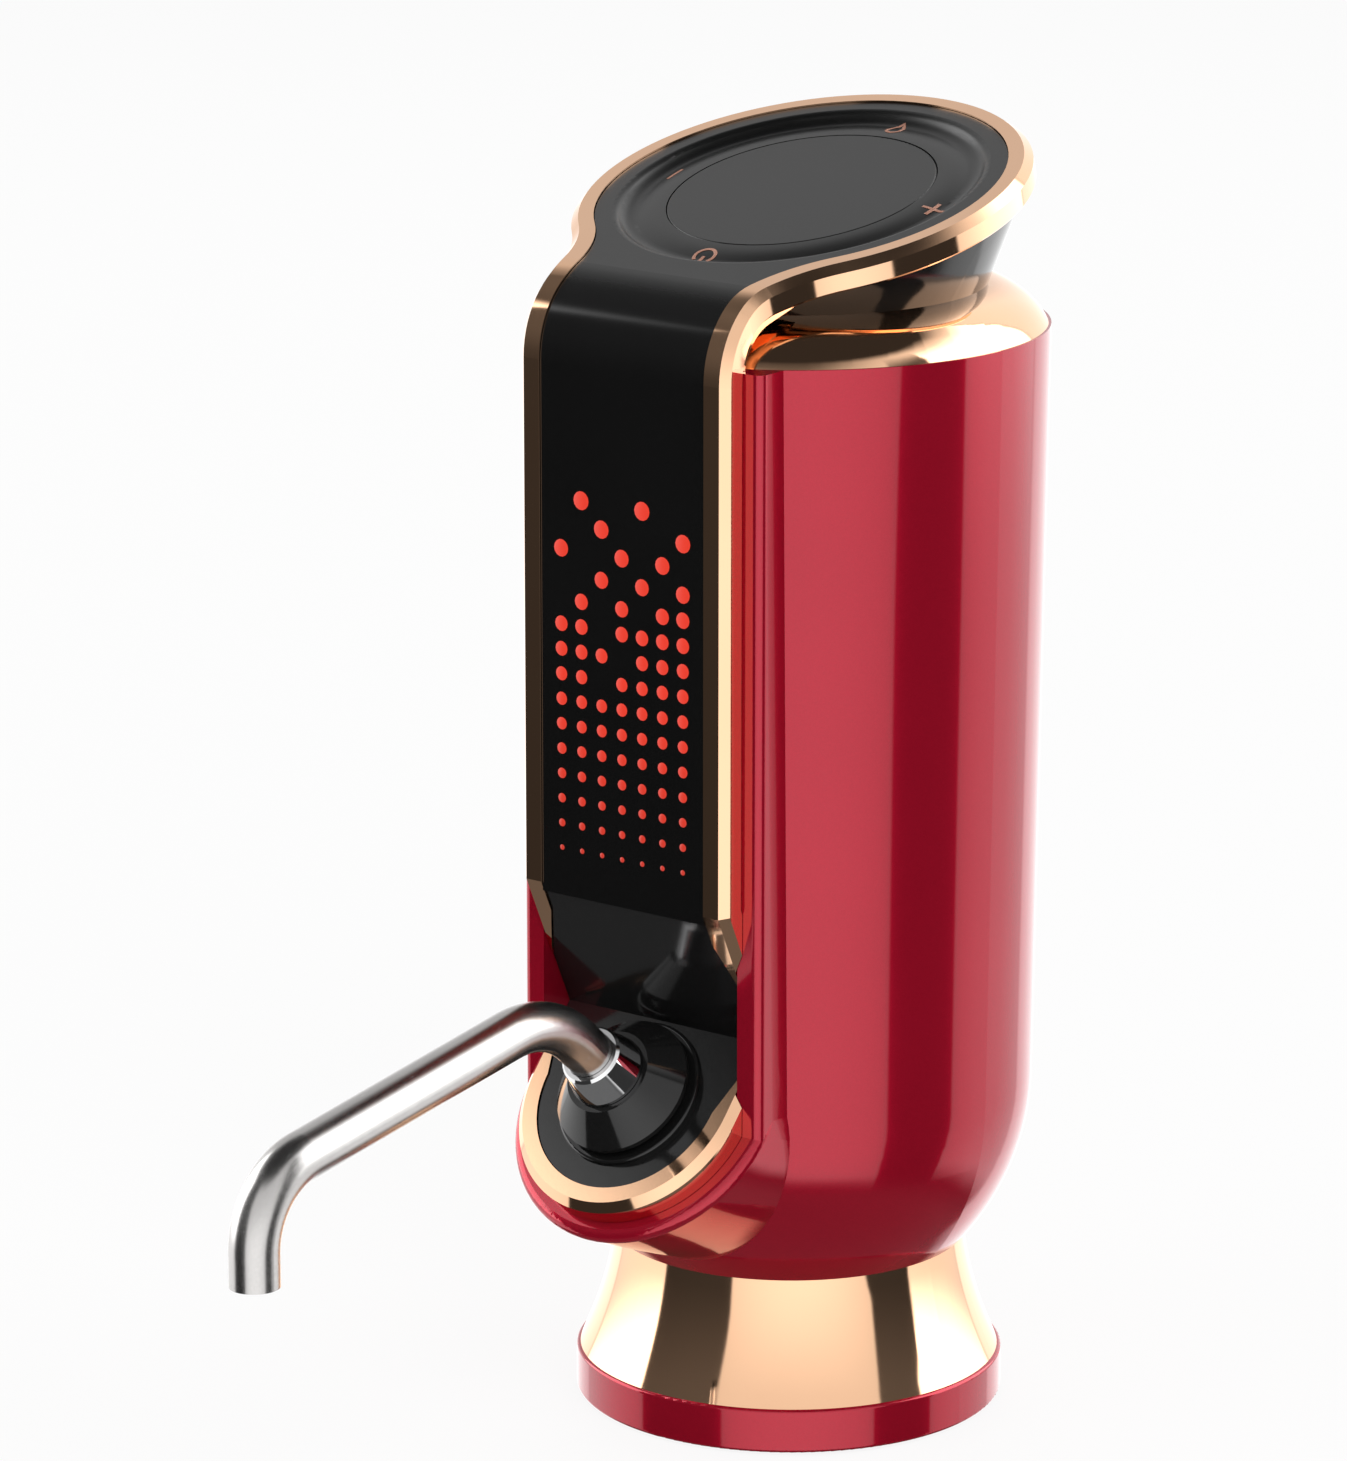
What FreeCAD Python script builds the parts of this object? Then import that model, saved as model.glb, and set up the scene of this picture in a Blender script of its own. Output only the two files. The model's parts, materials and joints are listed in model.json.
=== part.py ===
"""Wine preservation dispenser on its lift-off stand, as separate solids in millimetres.

+Z is up, -Y is the front (the spout's side), and the origin is the middle of the
rubber pad's underside, on the table. Each function makes the pieces of one group
and returns them by name; every piece is written to parts/NAME.step.
"""
import FreeCAD, Part
import math
import os
from FreeCAD import Placement, Rotation, Vector

# ---------------------------------------------------------------- driving dimensions
# Clearances
RUNNING_CLEARANCE = 0.06      # radial, between a piece that turns or slides and its bore
MOVING_GAP = 0.3              # between a moving piece and a neighbour it never touches
BUTTON_CLEARANCE = 0.08       # radial, between the round button and the lens
FIT_GAP = 0.1                 # between two fixed pieces that drop into each other
SCREW_FIT = 0.05              # radial, screw shank in its hole

# Stand
PAD_RADIUS = 30.4
PAD_THICKNESS = 1.8
FOOT_RADIUS = 33.5
FOOT_LIFT = 0.5               # the red ring stays this far off the table
FOOT_TOP = 7.5
FOOT_EDGE_ROUND = 0.6
FLOOR_PLATE_THICKNESS = 2.0
FOOT_LEDGE_RADIUS = 25.0      # bore of the ring above its ledge
FOOT_SCREW_MARGIN = 0.3       # between a screw's head and the rim of the floor plate
WEIGHT_THICKNESS = 3.0
FLARE_FOOT_RADIUS = 32.96
FLARE_TOP_STEP = 0.34         # the flare's top edge lies this far inside the body's foot
FLARE_SAG = 0.85              # how far the flare's line hollows in at its middle
FLARE_WALL = 1.8
SEAT_FLANGE_ROOM = 2.0        # between the bottle collar and the flange's bore
SEAT_FLANGE_THICKNESS = 2.4
SEAT_RING_MARGIN = 2.0        # between the flare's top edge and the rubber ring
SEAT_RING_WIDTH = 2.4
SEAT_RING_DEPTH = 1.3
DRIP_CUP_RADIUS = 20.0
DRIP_CUP_HEIGHT = 4.4
DRIP_CUP_WALL = 1.2

# Red body
BODY_BASE = 26.6              # underside of the body, on top of the stand
BODY_WALL = 2.4
BODY_FLOOR = 2.4
BODY_LOW_RADIUS = 37.8        # where the side turns into the bowl
BODY_TAPER = 1.5              # how much wider the side is at its top
BODY_FOOT_MARGIN = 3.14       # from the bottle collar's plate out to the bowl's foot
BOWL_TOP = 53.2
BODY_TOP = 171.45
POST_CIRCLE = 29.0
POST_RADIUS = 3.4
POST_ANGLES = (35.0, 145.0, 215.0, 325.0)
TOP_LEDGE_HEIGHT = 2.5
TOP_LEDGE_WIDTH = 3.2

# Channel for the fascia down the front of the body
CHANNEL_HALF_WIDTH = 18.8
LIP_HALF_WIDTH = 23.0         # to the outside of the red lips, at their front
LIP_DROP = 4.35               # the red lips lie this far below the gold rim
LIP_ROUND = 1.45
LIP_LEAN = 2.3                # degrees by which the lips' flanks draw in towards the body
LIP_OVERLAP = 0.5             # how far the upright lips run down into the chin's round
CHANNEL_BACK_WALL = 2.2
CABLE_HALF_WIDTH = 5.0
CABLE_SLOT_BASE = 100.0
CABLE_SLOT_HEIGHT = 3.0

# Gold frame and black fascia
FACE_STAND_OFF = 4.15         # from the red side out to the frame's flat front
FRAME_HALF_WIDTH = 18.55
FRAME_RIM = 2.9               # width of the gold rim's flat face on the strap
FRAME_BEVEL = 1.25            # 45 degree edge outside the flat face
FRAME_FOOT_BEVEL = 0.35       # on the lower edge of the frame's wall
FRAME_DEPTH = 6.0
BEND_RADIUS = 14.0
LENS_RECESS = 0.3             # the glass lies this far below the gold rim
LENS_THICKNESS = 2.0
DIVE_START = 89.0             # z where the frame turns in towards the notch
DIVE_ANGLE = 25.0             # from the vertical
DIVE_TAPER_START = 84.0       # z where the gold rim begins to narrow
DISPLAY_BOTTOM = 87.6

# Head
HEAD_TILT = 15.0
HEAD_CENTRE_Y = 1.684
HEAD_CENTRE_Z = 192.297
HEAD_RADIUS = 31.85           # of the black panel, inside the gold rim
HEAD_RIM = 2.4                # width of the gold rim's flat face on the head
KEYHOLE_START = 40.0          # along the panel, where strap and round head begin to blend
DISH_DEPTH = 0.8              # of the dish's round middle below the glass
DISH_FALL = 14.0              # degrees at which the middle's edge slopes into the moat
DISH_RISE = 48.8              # degrees at which the moat climbs to the dish's edge
MOAT_ROUND = 2.72
DISH_EDGE_ROUND = 1.465
BUTTON_HOLE_RADIUS = 20.9
BUTTON_EDGE_ROUND = 0.3
BUTTON_THICKNESS = 2.1
BUTTON_TRAVEL = 0.8
BUTTON_PIN_RADIUS = 1.2
BUTTON_PIN_CIRCLE = 15.0
BUTTON_PIN_LENGTH = 6.4
LENS_RING_THICKNESS = 4.0     # of the lens under the dish's slope
BOARD_THICKNESS = 1.0
CARRIER_PLATE_THICKNESS = 1.7
CARRIER_PLATE_RADIUS = 29.8
CARRIER_LEG_RADIUS = 3.2
CARRIER_LEGS = ((0.0, 21.0), (21.0, 4.0), (-21.0, 4.0))

# Gold shoulder and dark neck
SHOULDER_STEP = 0.4           # the shoulder's foot lies this far inside the body's top edge
SHOULDER_HOLLOW = 3.0         # from the body's top edge in to the middle of the shoulder's curve
SHOULDER_MID_RISE = 3.2
SHOULDER_FOOT_HEIGHT = 1.2
NECK_RADIUS = 29.7
NECK_BASE = 177.8
NECK_WALL = 2.0
NECK_TOP_RADIUS = 34.0
SPIGOT_DEPTH = 3.0
SPIGOT_WALL = 2.0
TOP_PLATE_THICKNESS = 2.5
TOP_SLOT_HALF_WIDTH = 7.0     # for the cables from the main board
TOP_SLOT_DEPTH = 5.0

# Chin: the tilted round face that carries the spout
CHIN_TILT = 48.37             # of its normal from the vertical, towards the front
CHIN_SINK = 1.8               # its middle lies this far behind the strap's face
CHIN_CENTRE_Z = 57.97
CHIN_RADIUS = 18.53
CHIN_RIM = 2.5
CHIN_ARM = 9.0                # how far the rim's two arms run up before they end
CHIN_UNDERCUT = 0.4           # fall of the boss's underside per millimetre towards the body
CHIN_BOSS_LENGTH = 29.0

# Spout
SPOUT_RADIUS = 3.8
SPOUT_WALL = 0.6
SPOUT_RUN_FALL = 8.5          # degrees below the horizontal, going forward
SPOUT_RUN_HEIGHT = 70.75      # z of the run's centre line at SPOUT_RUN_REACH
SPOUT_RUN_REACH = 48.05       # in front of the strap's face
SPOUT_REACH = 83.5            # of the outlet, in front of the strap's face
SPOUT_OUTLET_Z = 50.2
SPOUT_UPPER_BEND = 20.0
SPOUT_LOWER_BEND = 12.0
SPOUT_INNER_END = -7.5        # along the chin's normal, inside the socket
COLLAR_FOOT_RADIUS = 6.0      # of the cone that shows outside the mount
COLLAR_TOP_RADIUS = 4.9
COLLAR_TOP = 12.6
COLLAR_SLEEVE_RADIUS = 5.5
COLLAR_SLEEVE_END = -8.0
COLLAR_FLANGE_RADIUS = 6.3
COLLAR_FLANGE_THICKNESS = 1.6
COLLAR_END_PLAY = 0.1
SPOUT_SEAL_HEIGHT = 1.6
SPOUT_SEAL_DEPTH = 0.8
SPOUT_SEAL_PLACES = (-1.0, -5.0)
MOUNT_FLANGE_RADIUS = 12.1
MOUNT_FLANGE_TOP = 0.5
MOUNT_WAIST_RADIUS = 10.0
MOUNT_CUP_RADIUS = 11.1
MOUNT_CUP_FOOT = 1.7
MOUNT_CUP_RIM = 2.5
MOUNT_NOSE_RADIUS = 6.9
MOUNT_TOP = 7.0
MOUNT_SHANK_RADIUS = 8.0
MOUNT_SHANK_END = -13.0
NUT_ACROSS_FLATS = 20.0
NUT_THICKNESS = 3.5
NUT_WELL_RADIUS = 12.4
FEED_BARB_RADIUS = 2.0
FEED_BORE = 1.2
FEED_BARB_LENGTH = 7.0
FEED_BARB_GRIP = 4.0          # how far the tube goes over each barb

# Bottle socket
BOTTLE_BORE = 15.0
BOTTLE_COLLAR_WALL = 4.0
BOTTLE_MOUTH = 19.0
BOTTLE_BORE_LENGTH = 22.0
MOUTH_CHAMFER = 1.2
BOTTLE_GASKET_HEIGHT = 2.0
BOTTLE_GASKET_BORE = 8.0
BOTTLE_GASKET_LIP = 1.0       # how far its rim goes out past the bore
BOTTLE_CAP_THICKNESS = 3.0
COLLAR_PLATE_MARGIN = 0.1     # of the plate outside the screws' heads
COLLAR_PLATE_THICKNESS = 2.4
COLLAR_SCREW_GAP = 0.5        # between the socket's wall and the screws' heads
MANIFOLD_RADIUS = 12.0
MANIFOLD_HEIGHT = 8.5
MANIFOLD_BORE = 3.0
AIR_PORT = (2.0, -9.0)
AIR_BARB_HEIGHT = 4.0
FEED_TUBE_WALL = 1.0

# Deck and what stands on it
DECK_BASE = 56.0
DECK_THICKNESS = 2.5
DECK_GAP = 0.5
DECK_SCREW_GRIP = 10.0        # of the screws in the posts
SCREW_HOLE_SPARE = 2.0        # of a blind hole below its screw's end
BATTERY_RADIUS = 9.2
BATTERY_LENGTH = 65.0
BATTERY_PLACE = (-17.0, 4.0)
CRADLE_WALL = 1.5
CRADLE_HEIGHT = 52.0
CRADLE_SILL = 8.0             # height of the cradle's closed foot above the cell's end
CRADLE_MOUTH = 3.0            # from the cell's middle to the plane where the cradle is open
PUMP_PLACE = (14.0, 3.0)
MOTOR_RADIUS = 12.0
MOTOR_HEIGHT = 28.0
MOTOR_CAN_WALL = 1.0
MAGNET_THICKNESS = 1.2
ARMATURE_RADIUS = 8.9
ARMATURE_HEIGHT = 18.0
SHAFT_RADIUS = 1.0
ECCENTRIC_RADIUS = 6.0
ECCENTRIC_HEIGHT = 4.0
CRANK_OFFSET = 3.0
CRANK_PIN_RADIUS = 1.0
PUMP_RADIUS = 13.5
PUMP_HOUSING_WALL = 3.0
PUMP_HOUSING_HEIGHT = 16.0
DIAPHRAGM_THICKNESS = 2.0
VALVE_PLATE_THICKNESS = 2.5
PUMP_HEAD_HEIGHT = 6.0
PUMP_NOZZLE_RADIUS = 2.0
PUMP_NOZZLE_HEIGHT = 7.0
PUMP_SCREW_CIRCLE = 12.0
VALVE_PLACE = (-12.0, -14.0)
VALVE_WIDTH = 14.0
VALVE_DEPTH = 12.0
VALVE_HEIGHT = 18.0
VALVE_STEEL = 1.2
COIL_RADIUS = 5.4
PLUNGER_RADIUS = 2.0
PLUNGER_TRAVEL = 1.5
CHECK_VALVE_RADIUS = 3.6
CHECK_VALVE_HEIGHT = 12.0
CHECK_VALVE_BASE = 66.0
AIR_TUBE_RADIUS = 2.6
AIR_TUBE_WALL = 0.6
AIR_TUBE_TOP = 134.0
AIR_TUBE_BEND = 6.0
MAIN_BOARD_GAP = 10.8         # from the outside of the body's low side to the board's front
MAIN_BOARD_HALF_WIDTH = 17.0
MAIN_BOARD_HEIGHT = 80.0
MAIN_BOARD_THICKNESS = 1.6
# x, height above the deck, width, height and depth of each component
BOARD_CHIPS = ((-8.0, 25.5, 7.0, 7.0, 1.2), (6.0, 31.5, 5.0, 4.0, 1.5), (-6.0, 41.5, 6.0, 6.0, 2.8),
               (8.0, 45.5, 4.0, 5.0, 1.6), (0.0, 57.5, 9.0, 6.0, 1.4), (-10.0, 67.5, 6.0, 3.0, 4.0),
               (10.0, 67.5, 6.0, 3.0, 4.0))
PORT_WIDTH = 9.0
PORT_HEIGHT = 3.3
PORT_Z = 66.0
PORT_RECESS = 1.0
PORT_WALL = 0.4
PORT_BACK_WALL = 2.0
TONGUE_HALF_WIDTH = 3.2
TONGUE_THICKNESS = 0.7
TONGUE_RECESS = 1.5
LED_BOARD_HALF_WIDTH = 14.5
LED_BOARD_TOP = 166.0
LED_BOARD_THICKNESS = 1.2
LED_BOARD_BOTTOM = 91.0

# Screws
SCREW_RADIUS = 1.25
SCREW_HEAD_RADIUS = 2.5
SCREW_HEAD_HEIGHT = 1.0
PUMP_SCREW_RADIUS = 0.8

# ---------------------------------------------------------------- derived levels
BODY_TOP_RADIUS = BODY_LOW_RADIUS + BODY_TAPER
SHOULDER_RADIUS = BODY_TOP_RADIUS - SHOULDER_STEP
SHOULDER_MID_RADIUS = BODY_TOP_RADIUS - SHOULDER_HOLLOW
BOTTLE_COLLAR_RADIUS = BOTTLE_BORE + BOTTLE_COLLAR_WALL
COLLAR_SCREW_CIRCLE = BOTTLE_COLLAR_RADIUS + COLLAR_SCREW_GAP + SCREW_HEAD_RADIUS
COLLAR_PLATE_RADIUS = COLLAR_SCREW_CIRCLE + SCREW_HEAD_RADIUS + COLLAR_PLATE_MARGIN
BODY_FOOT_RADIUS = COLLAR_PLATE_RADIUS + BODY_FOOT_MARGIN
BOWL_SPREAD = BODY_LOW_RADIUS - BODY_FOOT_RADIUS
BOWL_RISE = BOWL_TOP - BODY_BASE
BOWL_RADIUS = (BOWL_SPREAD ** 2 + BOWL_RISE ** 2) / (2 * BOWL_SPREAD)
FLARE_TOP_RADIUS = BODY_FOOT_RADIUS - FLARE_TOP_STEP
SEAT_FLANGE_BORE = BOTTLE_COLLAR_RADIUS + SEAT_FLANGE_ROOM
SEAT_RING_OUTER = FLARE_TOP_RADIUS - SEAT_RING_MARGIN
SEAT_RING_INNER = SEAT_RING_OUTER - SEAT_RING_WIDTH
FRONT_FACE = -BODY_LOW_RADIUS - FACE_STAND_OFF
LIP_FRONT = FRONT_FACE + LIP_DROP
CHIN_CENTRE_Y = FRONT_FACE + CHIN_SINK
SPOUT_RUN_Y = FRONT_FACE - SPOUT_RUN_REACH
SPOUT_OUTLET_Y = FRONT_FACE - SPOUT_REACH
MAIN_BOARD_Y = BODY_LOW_RADIUS - MAIN_BOARD_GAP
FRAME_INNER_HALF = FRAME_HALF_WIDTH - FRAME_RIM
FRAME_BACK = FRONT_FACE + FRAME_DEPTH
FLANGE_DEPTH = LIP_DROP - FIT_GAP
FLANGE_HALF_WIDTH = FRAME_HALF_WIDTH + FRAME_BEVEL
FLANGE_HEAD_RADIUS = HEAD_RADIUS + HEAD_RIM + FRAME_BEVEL
FLANGE_END = LIP_FRONT - FIT_GAP
LENS_BACK_DEPTH = LENS_RECESS + LENS_THICKNESS
CARRIER_DEPTH = LENS_BACK_DEPTH + LED_BOARD_THICKNESS
DISH_LEVEL = LENS_RECESS + DISH_DEPTH
TOUCH_BOARD_LEVEL = LENS_RECESS + LENS_RING_THICKNESS
CARRIER_PLATE_LEVEL = TOUCH_BOARD_LEVEL + BOARD_THICKNESS
FLOOR_PLATE_TOP = PAD_THICKNESS + FLOOR_PLATE_THICKNESS
WEIGHT_TOP = FLOOR_PLATE_TOP + WEIGHT_THICKNESS
DECK_TOP = DECK_BASE + DECK_THICKNESS
GASKET_BASE = BOTTLE_MOUTH + BOTTLE_BORE_LENGTH
BOTTLE_CAP_BASE = GASKET_BASE + BOTTLE_GASKET_HEIGHT
MANIFOLD_BASE = BOTTLE_CAP_BASE + BOTTLE_CAP_THICKNESS
COLLAR_PLATE_BASE = BODY_BASE + BODY_FLOOR
TOP_PLATE_BASE = BODY_TOP - SPIGOT_DEPTH - TOP_PLATE_THICKNESS
HEAD_ORIGIN = Vector(0, HEAD_CENTRE_Y, HEAD_CENTRE_Z)
CHIN_ORIGIN = Vector(0, CHIN_CENTRE_Y, CHIN_CENTRE_Z)
FAR = 90.0                    # longer than any piece, for cutting tools


# ---------------------------------------------------------------- small helpers
def cylinder(radius, low, high, place=(0.0, 0.0)):
    """Upright round bar between two heights."""
    return Part.makeCylinder(radius, high - low, Vector(place[0], place[1], low))


def ring(outer, inner, low, high, place=(0.0, 0.0)):
    """Upright tube between two heights."""
    return cylinder(outer, low, high, place).cut(cylinder(inner, low - 1, high + 1, place))


def block(x0, x1, y0, y1, z0, z1):
    """Box between two corners."""
    return Part.makeBox(x1 - x0, y1 - y0, z1 - z0, Vector(x0, y0, z0))


def on_circle(radius, angles):
    """Points on a circle about Z, by angle in degrees from +X."""
    return [(radius * math.cos(math.radians(a)), radius * math.sin(math.radians(a))) for a in angles]


def fused(shapes):
    """One solid from several that overlap or touch."""
    return shapes[0].multiFuse(shapes[1:]).removeSplitter()


def without(shape, tools):
    """The shape with every tool cut away."""
    for tool in tools:
        shape = shape.cut(tool)
    return shape


def tilted(shape, tilt, origin):
    """Move a shape from its own frame to one leaned forward by tilt about X at origin."""
    placed = shape.copy()
    placed.Placement = Placement(origin, Rotation(Vector(1, 0, 0), tilt)).multiply(placed.Placement)
    return placed


def on_head(shape):
    """From the head's own frame: X across, Y up the panel, Z out of it."""
    return tilted(shape, HEAD_TILT, HEAD_ORIGIN)


def on_chin(shape):
    """From the chin's own frame: X across, Y up its face, Z out of it."""
    return tilted(shape, CHIN_TILT, CHIN_ORIGIN)


def chin_point(up, out):
    """Point in the middle plane, up the chin's face and out of it."""
    lean = math.radians(CHIN_TILT)
    y = CHIN_CENTRE_Y + up * math.cos(lean) - out * math.sin(lean)
    z = CHIN_CENTRE_Z + up * math.sin(lean) + out * math.cos(lean)
    return Vector(0, y, z)


def head_point(up, out):
    """Point in the middle plane, up the head's panel and out of it."""
    lean = math.radians(HEAD_TILT)
    y = HEAD_CENTRE_Y + up * math.cos(lean) - out * math.sin(lean)
    z = HEAD_CENTRE_Z + up * math.sin(lean) + out * math.cos(lean)
    return Vector(0, y, z)


def revolved(edges):
    """Solid of revolution about Z from edges that close a section in the XZ plane."""
    face = Part.Face(Part.Wire(Part.__sortEdges__(edges)))
    return face.revolve(Vector(0, 0, 0), Vector(0, 0, 1), 360)


def section_line(points):
    """Straight edges through points (radius, height) of a section."""
    corners = [Vector(r, 0, z) for r, z in points]
    return [Part.makeLine(a, b) for a, b in zip(corners, corners[1:])]


def section_arc(start, middle, end):
    """Arc through three points (radius, height) of a section."""
    a, b, c = (Vector(r, 0, z) for r, z in (start, middle, end))
    return Part.Arc(a, b, c).toShape()


def side_prism(points, half_width):
    """Prism across X from a polygon of points in the middle plane."""
    corners = [Vector(-half_width, p.y, p.z) for p in points]
    face = Part.Face(Part.makePolygon(corners + corners[:1]))
    return face.extrude(Vector(2 * half_width, 0, 0))


def filleted(shape, radius, chosen):
    """Round the edges that a test on each edge chooses."""
    return shape.makeFillet(radius, [edge for edge in shape.Edges if chosen(edge)])


def pan_screw(place, seat, length, up, radius=SCREW_RADIUS):
    """Screw whose head lies on seat; its shank runs down, or up where up is 1."""
    head = SCREW_HEAD_RADIUS * radius / SCREW_RADIUS
    if up:
        return cylinder(head, seat - SCREW_HEAD_HEIGHT, seat, place).fuse(
            cylinder(radius, seat, seat + length, place))
    return cylinder(head, seat, seat + SCREW_HEAD_HEIGHT, place).fuse(
        cylinder(radius, seat - length, seat, place))


def bent_tube_path(points, bends):
    """Wire of straight runs joined by tangent arcs, with the radius of each bend."""
    edges = []
    start = points[0]
    for before, corner, after, radius in zip(points, points[1:], points[2:], bends):
        into = (corner - before).normalize()
        out = (after - corner).normalize()
        turn = into.getAngle(out)
        setback = radius * math.tan(turn / 2)
        a = corner - into * setback
        c = corner + out * setback
        inward = (out - into).normalize()
        centre = corner + inward * (radius / math.cos(turn / 2))
        b = centre - inward * radius
        edges.append(Part.makeLine(start, a))
        edges.append(Part.Arc(a, b, c).toShape())
        start = c
    edges.append(Part.makeLine(start, points[-1]))
    return Part.Wire(edges)


def swept(path, radius):
    """Round bar along a path."""
    start = path.Edges[0]
    heading = start.tangentAt(start.FirstParameter)
    section = Part.Wire(Part.makeCircle(radius, start.valueAt(start.FirstParameter), heading))
    return path.makePipeShell([section], True, False)


# ---------------------------------------------------------------- head, bend and strap outlines
def bend_centre():
    """Middle of the bend between the head's panel and the upright strap."""
    lean = math.radians(HEAD_TILT)
    corner_up = (FRONT_FACE - HEAD_CENTRE_Y) / math.cos(lean)
    corner_z = HEAD_CENTRE_Z + corner_up * math.sin(lean)
    setback = BEND_RADIUS * math.tan(math.radians(90 - HEAD_TILT) / 2)
    return Vector(0, FRONT_FACE + BEND_RADIUS, corner_z - setback)


def bent_layer(shallow, deep, bottom):
    """Slab that follows the panel, the bend and the strap, between two depths below their face."""
    centre = bend_centre()
    lean = math.radians(HEAD_TILT)
    mid_turn = math.radians(135 + HEAD_TILT / 2)

    def arc_points(depth):
        radius = BEND_RADIUS - depth
        top = centre + Vector(0, -math.sin(lean), math.cos(lean)) * radius
        half = centre + Vector(0, math.cos(mid_turn), math.sin(mid_turn)) * radius
        low = centre + Vector(0, -radius, 0)
        return top, half, low

    top_a, half_a, low_a = arc_points(shallow)
    top_b, half_b, low_b = arc_points(deep)
    rear_a = head_point(FAR, -shallow)
    rear_b = head_point(FAR, -deep)
    foot_a = Vector(0, low_a.y, bottom)
    foot_b = Vector(0, low_b.y, bottom)
    edges = [Part.makeLine(rear_a, top_a), Part.Arc(top_a, half_a, low_a).toShape(),
             Part.makeLine(low_a, foot_a), Part.makeLine(foot_a, foot_b),
             Part.makeLine(foot_b, low_b), Part.Arc(low_b, half_b, top_b).toShape(),
             Part.makeLine(top_b, rear_b), Part.makeLine(rear_b, rear_a)]
    face = Part.Face(Part.Wire(edges))
    face.translate(Vector(-FAR, 0, 0))
    return face.extrude(Vector(2 * FAR, 0, 0))


def depth_below(point):
    """Depth of a point below the bent face of panel, bend and strap."""
    arm = point - bend_centre()
    lean = math.radians(HEAD_TILT)
    if arm.z < 0:
        return point.y - FRONT_FACE
    if arm.y * math.cos(lean) + arm.z * math.sin(lean) > 0:
        return (HEAD_ORIGIN - point).dot(head_point(0, 1) - HEAD_ORIGIN)
    return BEND_RADIUS - math.hypot(arm.y, arm.z)


def keyhole_prism(half_width, head_radius):
    """Round head that runs into a straight strap through two hollow corners, as a tall prism."""
    start = KEYHOLE_START
    corner = (half_width ** 2 + start ** 2 - head_radius ** 2) / (2 * (head_radius - half_width))
    reach = head_radius + corner
    touch = Vector(-(half_width + corner) * head_radius / reach, -start * head_radius / reach, 0)
    middle = Vector(-(half_width + corner), -start, 0)
    bisector = (touch - middle).normalize() + Vector(1, 0, 0)
    hollow = middle + bisector.normalize() * corner
    foot = Vector(-half_width, -2 * FAR, 0)
    begin = Vector(-half_width, -start, 0)

    def mirrored(p):
        return Vector(-p.x, p.y, p.z)

    edges = [Part.makeLine(foot, begin), Part.Arc(begin, hollow, touch).toShape(),
             Part.Arc(touch, Vector(0, head_radius, 0), mirrored(touch)).toShape(),
             Part.Arc(mirrored(touch), mirrored(hollow), mirrored(begin)).toShape(),
             Part.makeLine(mirrored(begin), mirrored(foot)), Part.makeLine(mirrored(foot), foot)]
    face = Part.Face(Part.Wire(edges))
    face.translate(Vector(0, 0, -2 * FAR))
    return on_head(face.extrude(Vector(0, 0, 3 * FAR)))


def dive_depth(depth, z):
    """y of the dive's sloping face, sunk by depth square to it, at a height."""
    lean = math.radians(DIVE_ANGLE)
    return FRONT_FACE + (DIVE_START - z) * math.tan(lean) + depth / math.cos(lean)


def dive_height(depth, y):
    """Height at which the dive's sunk face reaches y."""
    lean = math.radians(DIVE_ANGLE)
    return DIVE_START - (y - FRONT_FACE - depth / math.cos(lean)) / math.tan(lean)


def crease(dive_sunk, chin_sunk):
    """Point where the dive's face meets the chin's face, each sunk by its depth."""
    lean = math.radians(DIVE_ANGLE)
    along_dive = Vector(0, math.sin(lean), -math.cos(lean))
    start = Vector(0, dive_depth(dive_sunk, DIVE_START), DIVE_START)
    normal = chin_point(0, 1) - chin_point(0, 0)
    gap = (chin_point(0, -chin_sunk) - start).dot(normal)
    return start + along_dive * (gap / along_dive.dot(normal))


def front_space(half_width, extra):
    """Everything in front of the channel's floor; extra sinks that floor for the wall behind it."""
    floor = FRAME_BACK + extra
    high = BODY_TOP + 5
    depth = LENS_BACK_DEPTH + extra
    corner = crease(depth, FRAME_DEPTH + extra)
    points = [Vector(0, -FAR, high), Vector(0, floor, high), Vector(0, floor, dive_height(depth, floor)),
              corner, chin_point(0, -FRAME_DEPTH - extra), chin_point(0, FAR / 2)]
    upper = side_prism(points, half_width)
    return upper.fuse(on_chin(cylinder(half_width, -FRAME_DEPTH - extra, FAR / 2)))


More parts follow.
